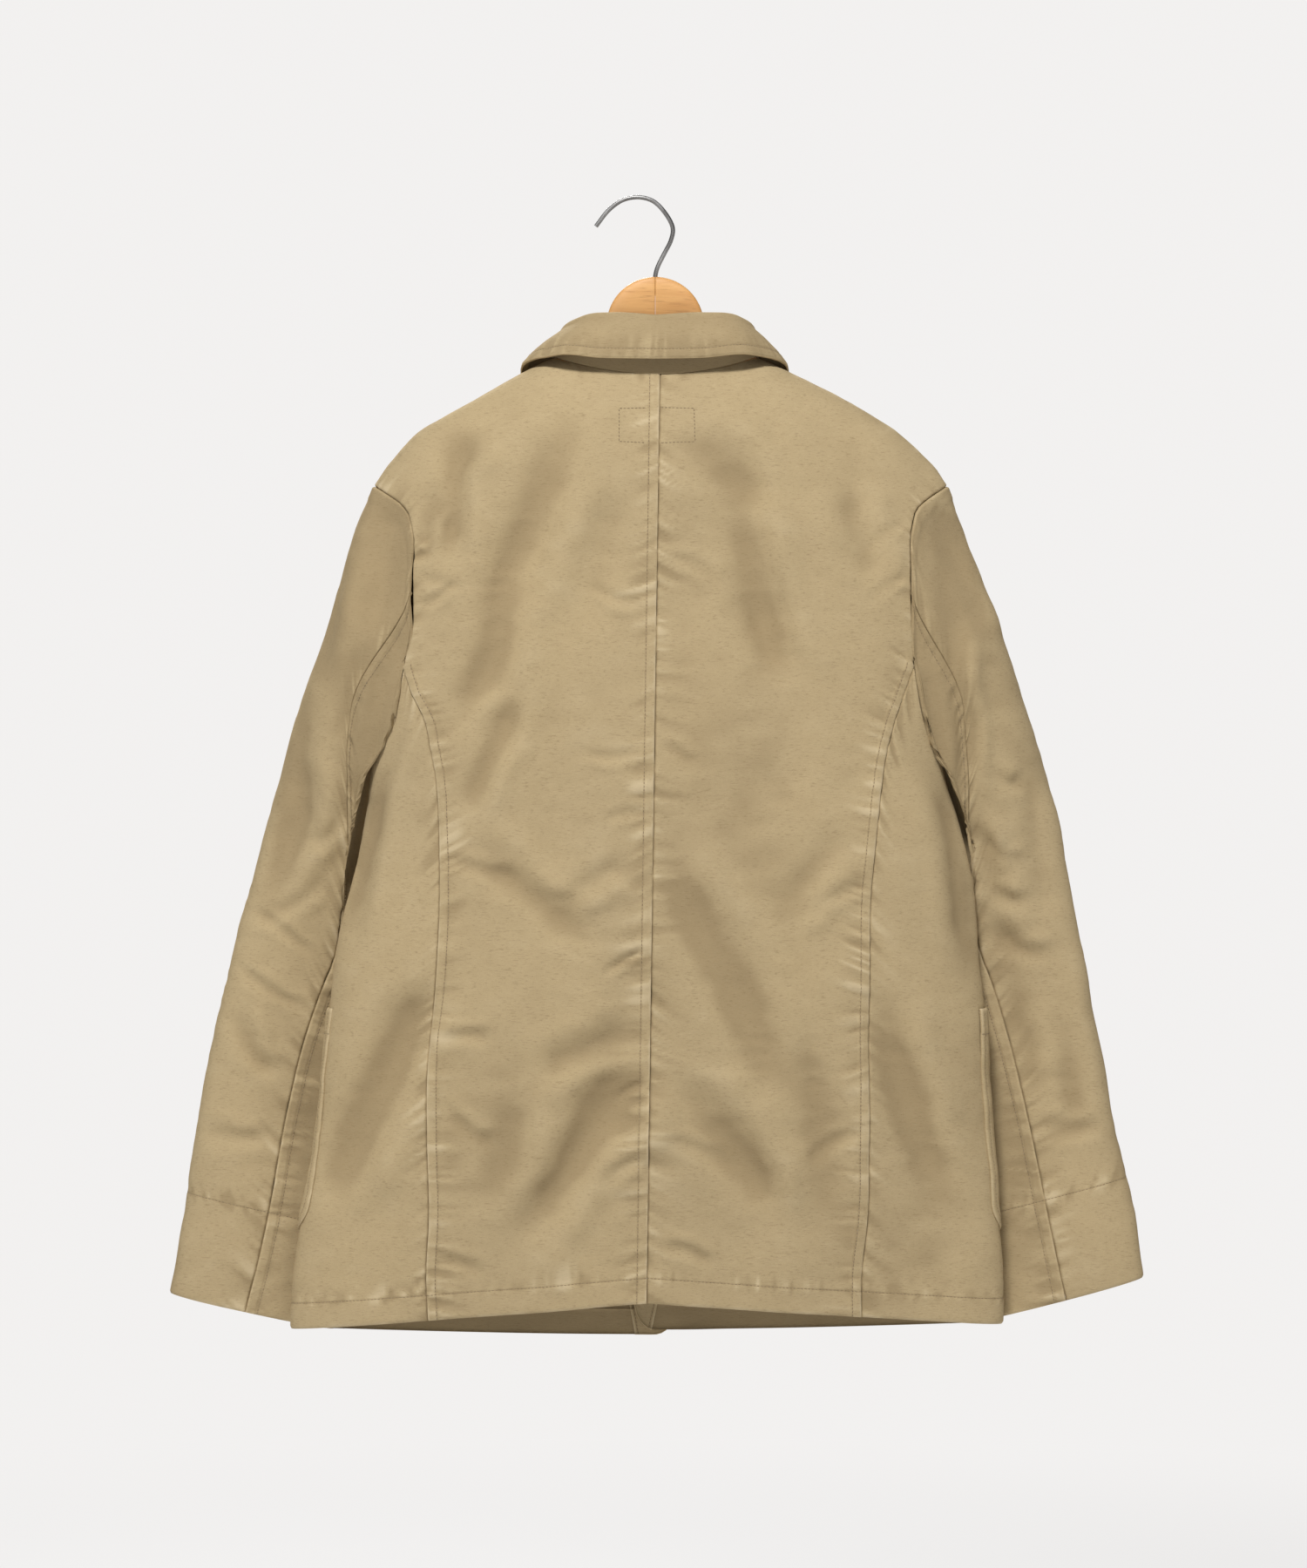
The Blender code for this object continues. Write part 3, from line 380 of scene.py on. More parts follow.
# Pockets, which start a string behind the side's column, and the collar
POCKET_SEW, POCKET_HEM, POCKET_RADIUS, POCKET_MIDDLE = 4.5, 20.0, 25.0, 34
POCKET_OUT, POCKET_BACK = 2.0, 1
POCKET_RIPPLES, POCKET_RIPPLE, POCKET_RIPPLE_REACH = (5.5, 8.5), (0.3, 0.6), 8.0
POCKET_ROLL, POCKET_TOP_ROLL, POCKET_ROLL_WIDTH, POCKET_HEM_END = 0.9, 0.8, 0.9, 1.6
POCKET_WORN, POCKET_WORN_WIDTH = 0.5, 1.4
COLLAR_SUNK, COLLAR_SHADE, COLLAR_FALLEN = 1.0, 0.6, (-12, 8)
COLLAR_WAVES = ((0.5, (34, 34, 22), 61), (0.2, 12, 62))
COLLAR_PATCHY, COLLAR_THINNED, COLLAR_THINNED_WIDTH = 0.2, 0.9, 1.1
COLLAR_WORN, COLLAR_WORN_WIDTH, COLLAR_WORN_PATCHES = 0.5, 2.5, (0.7, 0.6, 8, 63)

# Distances from an edge at which the shown mesh has a line of points
PLAIN = (0, 0.4, 0.9, 1.6, 2.8, 4.6, 7)
SEWN = (0, 0.4, 0.9, 1.6, 2.8, 4.4, 6, 6.9, 7.5, 8.1, 9, 10.5, 12.5, 15)
HEM = (0, 0.4, 0.9, 1.6, 3.4, 6.5, 10, 13.5, 16.5, 18.4, 19.4, 20, 20.6, 21.6, 23.5, 26)
SLEEVE_HEAD = (0, 0.4, 0.9, 1.6, 2.8, 4.6, 7, 9.5, 12)
CUFF = (*HEM[:5], *np.arange(6.6, 75, 3.6), 76.5, 78.4, 79.4, 80, 80.6, 81.6, 83.5, 86)
FACING_SEWN = (0, 0.4, 0.9, 1.6, 2.3, 2.8, 3.3, 4.4)
POCKET_EDGES = (0, 0.4, 0.9, 1.6, 2.8, 3.9, 4.5, 5.1, 6.2, 8.5, 12)

# Sewing: a stitch's length, width and height, and where it is widest
STITCH_PITCH, STITCH_SEAT = 2.8, 0.06
STITCH = (2.1, 0.34, 0.24)
STITCH_END, STITCH_FULL = 0.5, 0.3
TRACE_POINTS, POCKET_TURNS, POCKET_POINTS = 24, 9, 160

# Stitches that hold a label inside the back, as lines of the photo
LABEL_STITCHES = {
    LEFT: (((711, 474), (741, 473.5)), ((711, 474), (711, 512)), ((711, 512), (740, 513.5))),
    RIGHT: (((758, 473), (796, 474)), ((796, 474), (797, 512)), ((797, 512), (758, 514))),
}

# Seeds of the puckers along each seam and hem
SEEDS = {
    "back_middle": 101, "back_side": 110, "back_hem": 120, "back_neck": 125,
    "side_back": 130, "side_front": 135, "side_hem": 140,
    "front_side": 150, "front_edge": 160, "front_hem": 165, "pocket": 170,
    "sleeve_head": 180, "sleeve_felled": 190, "sleeve_tucked": 195, "cuff": 200, "collar": 210,
}

# The hanger's stations out from its middle: some at once, then from, to and step
HANGER_FINE = 64
WOOD_POWER = 4.0
HANGER_STATIONS = (0.1, 0.3, 0.8)
HANGER_RUNS = ((2.5, 36, 1.6), (36, 186, 2.5), (186, 193.1, 0.7))
HANGER_JOINT, HANGER_JOINT_WIDTH = 0.45, 0.35
HOOK_PLACES, HOOK_ROUNDNESS = 150, 6

# Buttons: radius and height round the rim, from the middle of the top to that of the foot
BUTTON_SIDES = 64
BUTTON_RIM = (
    (0.0, 2.5), (4.6, 2.5), (5.8, 2.7), (6.5, 3.4), (7.4, 3.75), (8.6, 3.7), (9.5, 3.3),
    (9.95, 2.5), (9.95, 1.6), (9.4, 0.9), (8.0, 0.55), (0.0, 0.5),
)
BUTTON_SHARP = 40
HOLE_PLACES = ((-1, -1), (1, -1), (1, 1), (-1, 1))
HOLE_OUT, HOLE_LEVEL, HOLE_RADIUS, HOLE_SIDES = 1.7, 2.6, 0.75, 12
HOLE_BELOW, HOLE_ABOVE = 3.5, 2
SHANK_STITCH, SHANK_STEP = (4.4, 0.55, 0.45), 0.15
BUTTONHOLE, BUTTONHOLE_END, BUTTONHOLE_PITCH = 17.0, 3.0, 0.62
BUTTONHOLE_HALF, BUTTONHOLE_SEAT, BUTTONHOLE_STITCH = 1.05, 0.12, (1.9, 0.3, 0.3)

# Colours, linear
CLOTH_MID = (0.415, 0.320, 0.182)
CLOTH_WARM = (0.440, 0.338, 0.190)
CLOTH_LIGHT = (0.560, 0.450, 0.280)
CLOTH_DARK = (0.225, 0.160, 0.082)
CLOTH_WORN = (0.600, 0.490, 0.315)
# the thread's own colour, darkened further to paint the shade of its stitch holes
THREAD_AND_HOLE_SHADE = (0.290, 0.215, 0.115)
WOOD_MID = (0.600, 0.300, 0.095)
WOOD_LIGHT = (0.690, 0.375, 0.130)
WOOD_DARK = (0.330, 0.150, 0.050)
STEEL_DARK = (0.22, 0.215, 0.21)
STEEL_LIGHT = (0.34, 0.335, 0.33)
HORN = (0.060, 0.036, 0.020)
HORN_LIGHT = (0.170, 0.105, 0.055)

# Creases for each cloth and face: half width, depth, and the points of the photo that each runs
# through (a front crease is placed as if seen through the back)
CREASES = {
    ("body", BACK): (
        # the long troughs from the shoulder blades
        (14, 4.4, (650, 470), (649, 499), (620, 581), (582, 675), (568, 757), (538, 807),
         (523, 865)),
        (10, 3.2, (598, 750), (580, 830), (556, 890), (524, 950)),
        (12, 3.8, (544, 490), (530, 520), (521, 563), (517, 622), (503, 655)),
        (7, 2.4, (500, 545), (492, 600), (487, 650)),
        (14, 3.0, (770, 500), (835, 548), (890, 590)),
        (15, 4.0, (825, 535), (856, 630), (872, 700), (886, 750), (896, 800)),
        (11, 2.8, (960, 560), (985, 620), (1000, 690)),
        (16, 2.2, (700, 560), (690, 640), (670, 730)),
        (13, 4.6, (446, 760), (436, 870), (414, 1000), (392, 1120)),
        (13, 4.6, (1072, 800), (1092, 930), (1106, 1040), (1122, 1130)),
        # folds that fan out from the middle seam to the hem
        (18, 5.2, (736, 1200), (706, 1256), (676, 1300), (621, 1383), (556, 1455)),
        (13, 3.2, (738, 1165), (700, 1190), (650, 1210), (600, 1240)),
        (17, 4.4, (755, 940), (785, 1029), (819, 1092), (861, 1177), (886, 1265)),
        (14, 4.8, (757, 1215), (802, 1278), (861, 1345), (900, 1420)),
        (17, 6.2, (502, 1115), (474, 1165), (440, 1240), (402, 1330), (375, 1400)),
        (15, 4.0, (994, 1120), (1026, 1220), (1056, 1310), (1096, 1410)),
        (16, 2.6, (596, 1240), (580, 1320), (560, 1400)),
        (16, 2.8, (920, 1180), (940, 1290), (950, 1420)),
        # the waist
        (12, 2.8, (530, 960), (590, 1010), (642, 1050), (700, 1085)),
        (12, 2.0, (980, 940), (930, 1000), (890, 1060)),
        (9, 2.2, (735, 990), (700, 1000), (665, 1025), (640, 1050)),
        (5, 1.2, (505, 980), (560, 1000), (610, 1010)),
        (5, 1.1, (998, 1010), (950, 1030), (905, 1060)),
        # short pulls at the armholes and seams
        (4, 1.8, (474, 646), (486, 641), (500, 640)),
        (3.6, 1.3, (484, 665), (510, 672), (540, 684)),
        (3.4, 1.2, (480, 700), (505, 690), (530, 668)),
        (3.6, 1.2, (1040, 600), (1010, 618), (985, 640)),
        (3.6, 1.3, (1042, 660), (1015, 676), (990, 700)),
        (3.6, 1.8, (744, 1086), (718, 1098), (690, 1120)),
        (4, 1.2, (744, 930), (715, 934), (690, 943)),
        (3.6, 1.5, (744, 1238), (724, 1246), (706, 1262)),
        (5, 1.6, (744, 1320), (712, 1336), (685, 1362)),
        (4.5, 1.7, (756, 1424), (790, 1432), (822, 1450)),
        (5, 1.4, (758, 1300), (800, 1316), (840, 1345)),
        (5, 1.5, (500, 1190), (540, 1186), (570, 1192)),
        (5, 1.2, (500, 1255), (546, 1300), (575, 1306)),
        (5, 1.4, (498, 1440), (530, 1446), (560, 1462)),
        (5, 1.2, (995, 1290), (950, 1310), (915, 1345)),
        (4, 1.3, (756, 853), (780, 866), (800, 880)),
        (4, 1.1, (758, 640), (800, 655), (835, 680)),
        (4, 1.1, (745, 700), (705, 690), (680, 672)),
        (4, 1.0, (744, 860), (700, 870), (660, 862)),
    ),
    ("body", FRONT): (
        (13, 3.6, (650, 520), (636, 600), (610, 700), (560, 800)),
        (13, 3.6, (850, 530), (872, 610), (900, 710), (950, 820)),
        (10, 2.6, (560, 560), (548, 640), (520, 720)),
        (10, 2.6, (940, 560), (960, 640), (985, 730)),
        (14, 2.8, (700, 860), (660, 930), (600, 1010)),
        (14, 2.8, (800, 900), (850, 980), (900, 1040)),
        (4, 1.3, (500, 640), (530, 660), (560, 690)),
        (4, 1.3, (1020, 640), (990, 664), (965, 700)),
        (14, 2.8, (690, 1180), (660, 1280), (640, 1400)),
        (14, 2.8, (830, 1160), (850, 1270), (880, 1420)),
        (5, 1.3, (720, 1000), (680, 1020), (640, 1010)),
        (5, 1.3, (790, 780), (830, 800), (870, 790)),
    ),
    ("sleeve", BACK): (
        (16, 3.4, (352, 760), (338, 860), (318, 980), (300, 1080)),
        (14, 3.4, (1140, 1000), (1156, 1090), (1176, 1190), (1196, 1290)),
        (13, 3.4, (1200, 1040), (1208, 1130), (1228, 1236), (1240, 1330)),
        (5, 1.4, (376, 1000), (350, 1030), (312, 1050), (276, 1054)),
        (5, 1.8, (1122, 950), (1150, 985), (1186, 996)),
        (14, 3.6, (462, 560), (446, 610), (436, 680), (424, 740)),
        (14, 3.6, (1064, 560), (1086, 620), (1100, 700), (1108, 770)),
        (9, 2.2, (420, 560), (404, 590), (392, 640)),
        (9, 2.2, (1108, 590), (1130, 640), (1140, 700)),
        (4, 1.2, (262, 1100), (294, 1129), (326, 1148), (358, 1161)),
        (8, 2.8, (266, 1139), (280, 1192), (298, 1222), (327, 1236)),
        (11, 3.2, (392, 610), (374, 700), (360, 790)),
        (11, 3.0, (352, 860), (342, 940), (326, 1020)),
        (6, 2.0, (424, 740), (406, 800), (392, 860)),
        (4, 1.1, (286, 1042), (326, 1072), (366, 1103)),
        (7, 1.6, (224, 1296), (270, 1310), (316, 1304)),
        (5, 1.6, (400, 930), (376, 960), (350, 972)),
        (8, 3.0, (1108, 930), (1122, 965), (1140, 1000), (1166, 1022)),
        (6, 2.6, (1120, 1000), (1150, 1030), (1190, 1040)),
        (12, 2.6, (1180, 840), (1190, 960), (1200, 1100)),
        (9, 3.0, (1080, 700), (1095, 780), (1108, 850), (1104, 930)),
        (7, 2.2, (1136, 1060), (1172, 1090), (1216, 1098)),
        (9, 2.2, (1088, 600), (1118, 680), (1140, 760)),
        (7, 1.6, (1186, 1290), (1230, 1300), (1274, 1290)),
        (5, 1.6, (1134, 880), (1156, 900), (1180, 896)),
    ),
    ("sleeve", FRONT): (
        (8, 2.8, (300, 1000), (340, 1020), (385, 1000)),
        (6, 2.4, (290, 1060), (330, 1085), (380, 1070)),
        (10, 2.8, (400, 620), (386, 720), (360, 820)),
        (8, 2.2, (330, 1140), (300, 1220), (270, 1300)),
        (8, 2.8, (1210, 1000), (1170, 1022), (1120, 1004)),
        (6, 2.4, (1220, 1062), (1180, 1086), (1130, 1072)),
        (10, 2.8, (1100, 620), (1118, 720), (1142, 820)),
        (8, 2.2, (1180, 1140), (1206, 1220), (1230, 1300)),
    ),
}


# ---------------------------------------------------------------- curves, tables and noise


def read(rows, key, name, at):
    """The named column at values of the key column, along a smooth curve."""
    keys, values = rows[key], rows[name]
    at = np.clip(at, keys[0], keys[-1])
    slopes = np.gradient(values, keys)
    low = np.clip(np.searchsorted(keys, at, side="right") - 1, 0, len(keys) - 2)
    step = keys[low + 1] - keys[low]
    t = (at - keys[low]) / step
    rise = values[low + 1] - values[low]
    return (
        values[low] + rise * t * t * (3 - 2 * t)
        + step * slopes[low] * t * (1 - t) ** 2
        - step * slopes[low + 1] * t * t * (1 - t)
    )


def ease(t):
    """0 to 1 with level ends."""
    t = np.clip(t, 0, 1)
    return t * t * (3 - 2 * t)


def mix(low, high, t):
    return low + (high - low) * t


def bump(distance, width):
    """1 at no distance, falling smoothly to nothing."""
    return np.exp(-(distance / width) ** 2)


def within(distance, start, run):
    """1 as far as the start, then down to 0 over the run."""
    return 1 - ease((distance - start) / run)


def unit(vectors):
    return vectors / np.maximum(np.linalg.norm(vectors, axis=-1, keepdims=True), TINY)


def reached(points):
    """The distance to each point along a line of them."""
    return np.concatenate([[0], np.cumsum(np.linalg.norm(np.diff(points, axis=0), axis=1))])


def at_reach(wanted, reach, points):
    """Places on a line of points at the wanted distances along it."""
    return np.stack([np.interp(wanted, reach, axis) for axis in points.T], axis=-1)


def along(points, t):
    """Places on a polyline, at fractions of its length."""
    points = np.array(points, float)
    reach = reached(points)
    return at_reach(t * reach[-1], reach, points)


def smooth_line(points, count):
    """Points evenly numbered along a smooth curve through the given ones."""
    points = np.array(points, float)
    rows = {"at": np.arange(len(points), dtype=float)}
    for axis in range(points.shape[1]):
        rows[axis] = points[:, axis]
    at = np.linspace(0, len(points) - 1, count)
    return np.stack([read(rows, "at", axis, at) for axis in range(points.shape[1])], axis=1)


# Random values for the noise, how far a seed moves it along a line and in space, and the numbers
# that turn a place in space into one of the values
LATTICE_SIZE, LATTICE_SEED = 4096, 11
LATTICE = np.random.RandomState(LATTICE_SEED).uniform(-1, 1, LATTICE_SIZE)
SEED_RUN, SEED_SHIFT = 53.7, 17.31
HASH = (73856093, 19349663, 83492791)


def noise1(x, seed):
    """Smooth noise from -1 to 1 along a line."""
    x = x + seed * SEED_RUN
    cell = np.floor(x).astype(int)
    low, high = (LATTICE[(cell + step) % LATTICE_SIZE] for step in (0, 1))
    return mix(low, high, ease(x - cell))


def noise3(points, size, seed):
    """Smooth noise from -1 to 1 in space. size is one length, or one for each axis."""
    place = points / np.array(size, float) + seed * SEED_SHIFT
    cell = np.floor(place).astype(np.int64)
    t = ease(place - cell)
    total = 0.0
    for corner in range(8):
        step = np.array([corner & 1, corner >> 1 & 1, corner >> 2 & 1])
        index = np.bitwise_xor.reduce((cell + step) * HASH, axis=-1) % LATTICE_SIZE
        weight = np.prod(np.where(step == 1, t, 1 - t), axis=-1)
        total = total + LATTICE[index] * weight
    return total


# ---------------------------------------------------------------- the body's skin


def by_side(x, rows, key, name, at):
    """A table's smooth curve for the left or the right, whichever the place lies on. The side's
    own column stands where the key or the name is None."""
    sides = (read(rows, key or side, name or side, at) for side in SIDE_NAMES.values())
    return np.where(x < 0, *sides)


def fold_depth(face, x, z):
    """How far the largest folds sink the skin."""
    sunk = np.zeros(np.shape(x))
    for which, start_x, start_z, end_x, end_z, width, depth in zip(*FOLDS.values()):
        if which != face:
            continue
        run_x, run_z = end_x - start_x, end_z - start_z
        off_x, off_z = x - start_x, z - start_z
        t = np.clip((off_x * run_x + off_z * run_z) / (run_x**2 + run_z**2), 0, 1)
        away = np.hypot(off_x - run_x * t, off_z - run_z * t)
        sunk += depth * bump(away, width)
    return sunk


def surface_y(face, x, z):
    """How far back or forward the skin lies behind places on the jacket's front view."""
    across = np.minimum(np.abs(x) / by_side(x, BODY, "z", None, z), 1.0)
    shoulder = by_side(x, SHOULDER, None, "z", np.abs(x))
    below = (shoulder - z) / SHOULDER_ARCH
    arch = np.sqrt(np.clip(1 - np.clip(1 - below, 0, None) ** 2, 0, None))
    depth = read(BODY, "z", "back" if face == BACK else "front", z)
    level = (1 - across**SECTION_POWER) ** (1 / SECTION_POWER) * arch
    return face * level * (
        depth - fold_depth(face, x, z) * np.minimum(level / FULL_FOLD_LEVEL, 1)
    )


def half_width(side, z):
    return read(BODY, "z", SIDE_NAMES[side], z)


def hem_z(side, face, across):
    """The hem's level, from the middle (across 0) to the side (across 1)."""
    if face == BACK:
        return mix(HEM_BACK_Z, HEM_SIDE_Z[side], across)
    return HEM_SIDE_Z[side] - HEM_FRONT_DROP * (1 - across**2)


def row_z(row, hem, top):
    """The level of one of the rows from the hem to the foot of the armhole."""
    if row <= HEM_ROWS:
        return mix(hem, POCKET_BOTTOM_Z, row / HEM_ROWS)
    row -= HEM_ROWS
    if row <= POCKET_ROWS:
        return mix(POCKET_BOTTOM_Z, POCKET_TOP_Z, row / POCKET_ROWS)
    return mix(POCKET_TOP_Z, top, (row - POCKET_ROWS) / CHEST_ROWS)


def centre_back_x(z):
    return mix(*CENTRE_BACK_X, (z - HEM_BACK_Z) / (NECK_BACK_Z - HEM_BACK_Z))


def side_seam_x(side, face, z):
    if face == BACK:
        return side * read(SIDE_BACK_SEAM, "z", SIDE_NAMES[side], z)
    return side * half_width(side, z) * FRONT_SEAM_AT


def shoulder_point(side, t):
    """A place on the shoulder seam, from the neck (0) to the tip (1)."""
    neck = int(np.searchsorted(SHOULDER["z"][::-1], NECK_SIDE_Z))
    first = len(SHOULDER["z"]) - 1 - neck
    line = np.stack([side * SHOULDER[SIDE_NAMES[side]], SHOULDER["z"]], axis=1)[first:]
    place = along(line, t)
    place[1] = read(SHOULDER, SIDE_NAMES[side], "z", abs(place[0]))
    return place


def armhole_point(side, face, t):
    """A place on the armhole seam, from the side panel's corner (0) to the tip (1)."""
    rows = ARMHOLE[face]
    line = np.stack([side * rows[SIDE_NAMES[side]], rows["z"]], axis=1)
    return along(smooth_line(line, ARMHOLE_POINTS), t)


def neck_point(side, face, t):
    """A place on the neck seam, from the middle (0) to the shoulder seam (1)."""
    if face == BACK:
        x = mix(centre_back_x(NECK_BACK_Z), side * NECK_HALF, t)
        return np.array([x, mix(NECK_BACK_Z, NECK_SIDE_Z, t * t)])
    angle = t * math.pi / 2
    return np.array([
        side * NECK_HALF * math.sin(angle),
        mix(NECK_SIDE_Z, NECK_FRONT_Z, math.cos(angle)),
    ])


def panel(side, face):
    """A back or front as rows of points from the hem up. A back's columns run from the middle
    to the side, and a front's from the side to its closing edge."""
    columns = BODY_COLUMNS * COLUMN_FINE
    part = np.arange(columns + 1) / columns
    flap = OVERLAP_COLUMNS * COLUMN_FINE if face == FRONT else 0
    off = np.arange(flap, 0, -1) / OVERLAP_COLUMNS / COLUMN_FINE
    corner_z = ARMHOLE_Z[face]
    hem_seam = abs(side_seam_x(side, face, HEM_SIDE_Z[side]))
    hem = hem_z(side, face, part * hem_seam / half_width(side, HEM_SIDE_Z[side]))
    rounded = hem_z(side, face, 0) + CORNER_RADIUS * (1 - np.sqrt(1 - off**2))
    flat = []
    for row in range(LOWER_ROWS * ROW_FINE + 1):
        z = row_z(row / ROW_FINE, hem, corner_z) + np.zeros(len(part))
        middle = centre_back_x(z) if face == BACK else 0.0
        line = np.stack([mix(middle, side_seam_x(side, face, z), part), z], axis=1)
        edge_z = row_z(row / ROW_FINE, rounded, corner_z) + np.zeros(flap)
        edge = np.stack([-side * OVERLAP * off, edge_z], axis=1)
        flat.append(np.concatenate([edge, line]))

    neck, shoulder = NECK_COLUMNS * COLUMN_FINE, SHOULDER_COLUMNS * COLUMN_FINE
    top = [(-side * OVERLAP * t, NECK_FRONT_Z) for t in off]
    top += [neck_point(side, face, i / neck) for i in range(neck)]
    top += [shoulder_point(side, i / shoulder) for i in range(shoulder + 1)]
    top = np.array([tuple(place) for place in top])
    base = flat[-1]
    across = np.arange(len(base)) / (len(base) - 1)
    for row in range(1, YOKE_ROWS * ROW_FINE + 1):
        up = 1 - (1 - row / YOKE_ROWS / ROW_FINE) ** TOP_CROWDING
        line = mix(base, top, up)
        edge = armhole_point(side, face, up) - line[-1]
        flat.append(line + np.outer(across**2, edge))

    flat = np.array(flat)
    x, z = flat[..., 0], flat[..., 1]
    y = surface_y(face, x, z)
    if face == BACK:
        return np.stack([x, y, z], axis=-1)
    if side == RIGHT:
        near, far = OVERLAP_EASE
        y -= OVERLAP_INSET * within(x, near, far - near)
    return np.stack([x, y, z], axis=-1)[:, ::-1]


def section_angle(side, face, z):
    """The seam's place on the body's section, as an angle from the side (0) to the middle."""
    across = np.abs(side_seam_x(side, face, z)) / half_width(side, z)
    return face * np.arccos(across ** (SECTION_POWER / 2))


def side_panel(side):
    """The side panel: rows from the hem up to the underarm, columns from back to front."""
    rows, columns = LOWER_ROWS * ROW_FINE, SIDE_COLUMNS * STRING_FINE
    points = np.zeros((rows + 1, columns + 1, 3))
    hem_level = HEM_SIDE_Z[side]
    for column in range(columns + 1):
        part = column / columns
        top = mix(*ARMHOLE_Z.values(), part) - UNDERARM_DIP * math.sin(math.pi * part)
        hem_angle = mix(
            section_angle(side, BACK, hem_level), section_angle(side, FRONT, hem_level), part
        )
        face = BACK if hem_angle < 0 else FRONT
        hem = hem_z(side, face, math.cos(hem_angle) ** (2 / SECTION_POWER))
        z = np.array([row_z(row / ROW_FINE, hem, top) for row in range(rows + 1)])
        angle = mix(section_angle(side, BACK, z), section_angle(side, FRONT, z), part)
        x = side * half_width(side, z) * np.cos(angle) ** (2 / SECTION_POWER)
        y = np.where(angle < 0, surface_y(BACK, x, z), surface_y(FRONT, x, z))
        points[:, column] = np.stack([x, y, z], axis=1)
    return points


# ---------------------------------------------------------------- the sleeves' skin


def armhole_loop(back, under, front):
    """The armhole's points: from the shoulder's tip down the back, under the arm and up."""
    foot, step = LOWER_ROWS * ROW_FINE, ROW_FINE // STRING_FINE
    down = back[foot::step, -1][::-1]
    up = front[foot + step :: step, 0]
    return np.concatenate([down, under[-1, 1:], up])[:-1]


def clear_of_body(side, ring, underarm):
    """Moves a ring of the sleeve out of the body's side, most of all below the underarm."""
    x, y, z = ring.T
    weight = np.clip((underarm[0, 2] - z) / CLEARANCE_RUN + 0.5, 0, 1)
    below = np.interp(y, underarm[:, 1], underarm[:, 2]) - z
    clearance = np.interp(below, (0, CLEARANCE_RUN), (UNDERARM_CLEARANCE, SLEEVE_CLEARANCE))
    wide = half_width(side, z) + clearance
    depth = np.where(y > 0, read(BODY, "z", "front", z), read(BODY, "z", "back", z)) + clearance
    out_x, out_y = np.abs(x), np.abs(y)
    for _ in range(CLEARANCE_STEPS):
        value = (out_x / wide) ** SECTION_POWER + (out_y / depth) ** SECTION_POWER
        slope_x, slope_y = (
            SECTION_POWER * (out / size) ** (SECTION_POWER - 1) / size
            for out, size in ((out_x, wide), (out_y, depth))
        )
        step = np.clip(1 - value, 0, None) / np.maximum(slope_x**2 + slope_y**2, TINY_SQUARE)
        out_x = out_x + slope_x * step
        out_y = out_y + slope_y * step
    moved = np.stack([side * out_x, np.sign(y) * out_y, z], axis=1)
    return mix(ring, moved, weight[:, None])


def sleeve(side, loop):
    """A sleeve: rings from the armhole to the cuff, strings round it from the outer edge."""
    count, rows = len(loop), SLEEVE_ROWS * SLEEVE_FINE
    half = count // 2
    reach = reached(np.vstack([loop, loop[:1]]))
    low = reach[half]
    first = np.where(
        np.arange(count) <= half,
        180 * reach[:-1] / low,
        180 + 180 * (reach[:-1] - low) / (reach[-1] - low),
    )
    even = 360 * np.arange(count) / count
    tip, pit = loop[0], loop[half]
    underarm = loop[YOKE_ROWS * STRING_FINE : (YOKE_ROWS + SIDE_COLUMNS) * STRING_FINE + 1]
    rings = np.zeros((rows + 1, count, 3))
    rest = None
    for row in range(rows + 1):
        t = (row / rows) ** SLEEVE_CROWDING
        outer_x, outer_y, inner_x, inner_y, depth, wind = (
            read(SLEEVE, "along", name, t)
            for name in (SIDE_NAMES[side], "outer_y", "inner_x", "inner_y", "depth", "wind")
        )
        outer = np.array([side * outer_x, outer_y, mix(tip[2], SLEEVE_OUTER_END_Z[side], t)])
        inner = np.array([side * inner_x, inner_y, mix(pit[2], SLEEVE_INNER_END_Z[side], t)])
        centre, reach_in = (outer + inner) / 2, (inner - outer) / 2
        axis = reach_in / np.linalg.norm(reach_in)
        forward = np.array([0.0, 1.0, 0.0])
        forward -= axis * np.dot(forward, axis)
        forward *= depth / np.linalg.norm(forward)
        turn = np.radians(mix(first, even, ease(t / EVEN_STRINGS_AT)) - wind)
        across, deep = (
            np.sign(part) * np.abs(part) ** (2 / SECTION_POWER)
            for part in (np.cos(turn), np.sin(turn))
        )
        ring = centre - np.outer(across, reach_in) - np.outer(deep, forward)
        if rest is None:
            rest = loop - ring
        ring = ring + rest * within(t, 0, SLEEVE_EASE)
        rings[row] = clear_of_body(side, ring, underarm) if row else loop
    return rings


# ---------------------------------------------------------------- cloth


def travelled(grid, axis):
    """Distance from the grid's first line to each point, along its own lines."""
    steps = np.linalg.norm(np.diff(grid, axis=axis), axis=-1)
    pad = [(0, 0), (0, 0)]
    pad[axis] = (1, 0)
    return np.cumsum(np.pad(steps, pad), axis=axis)


def spread(grid, low, high, spacing=COLUMN_SPACING):
    """The grid with new columns: some at given distances from each side, even ones between."""
    reach = travelled(grid, 1)
    total = reach[:, -1]
    low, high = np.array(low), np.array(high)
    count = max(int(math.ceil((total.max() - low[-1] - high[-1]) / spacing)), 1)
    found = []
    for line, at, length in zip(grid, reach, total):
        middle = np.linspace(low[-1], length - high[-1], count + 1)[1:-1]
        wanted = np.concatenate([low, middle, length - high[::-1]])
        found.append(at_reach(wanted, at, line))
    return np.array(found)


def spread_rows(grid, low, high, spacing=ROW_SPACING):
    """The same for its rows."""
    return spread(grid.transpose(1, 0, 2), low, high, spacing).transpose(1, 0, 2)


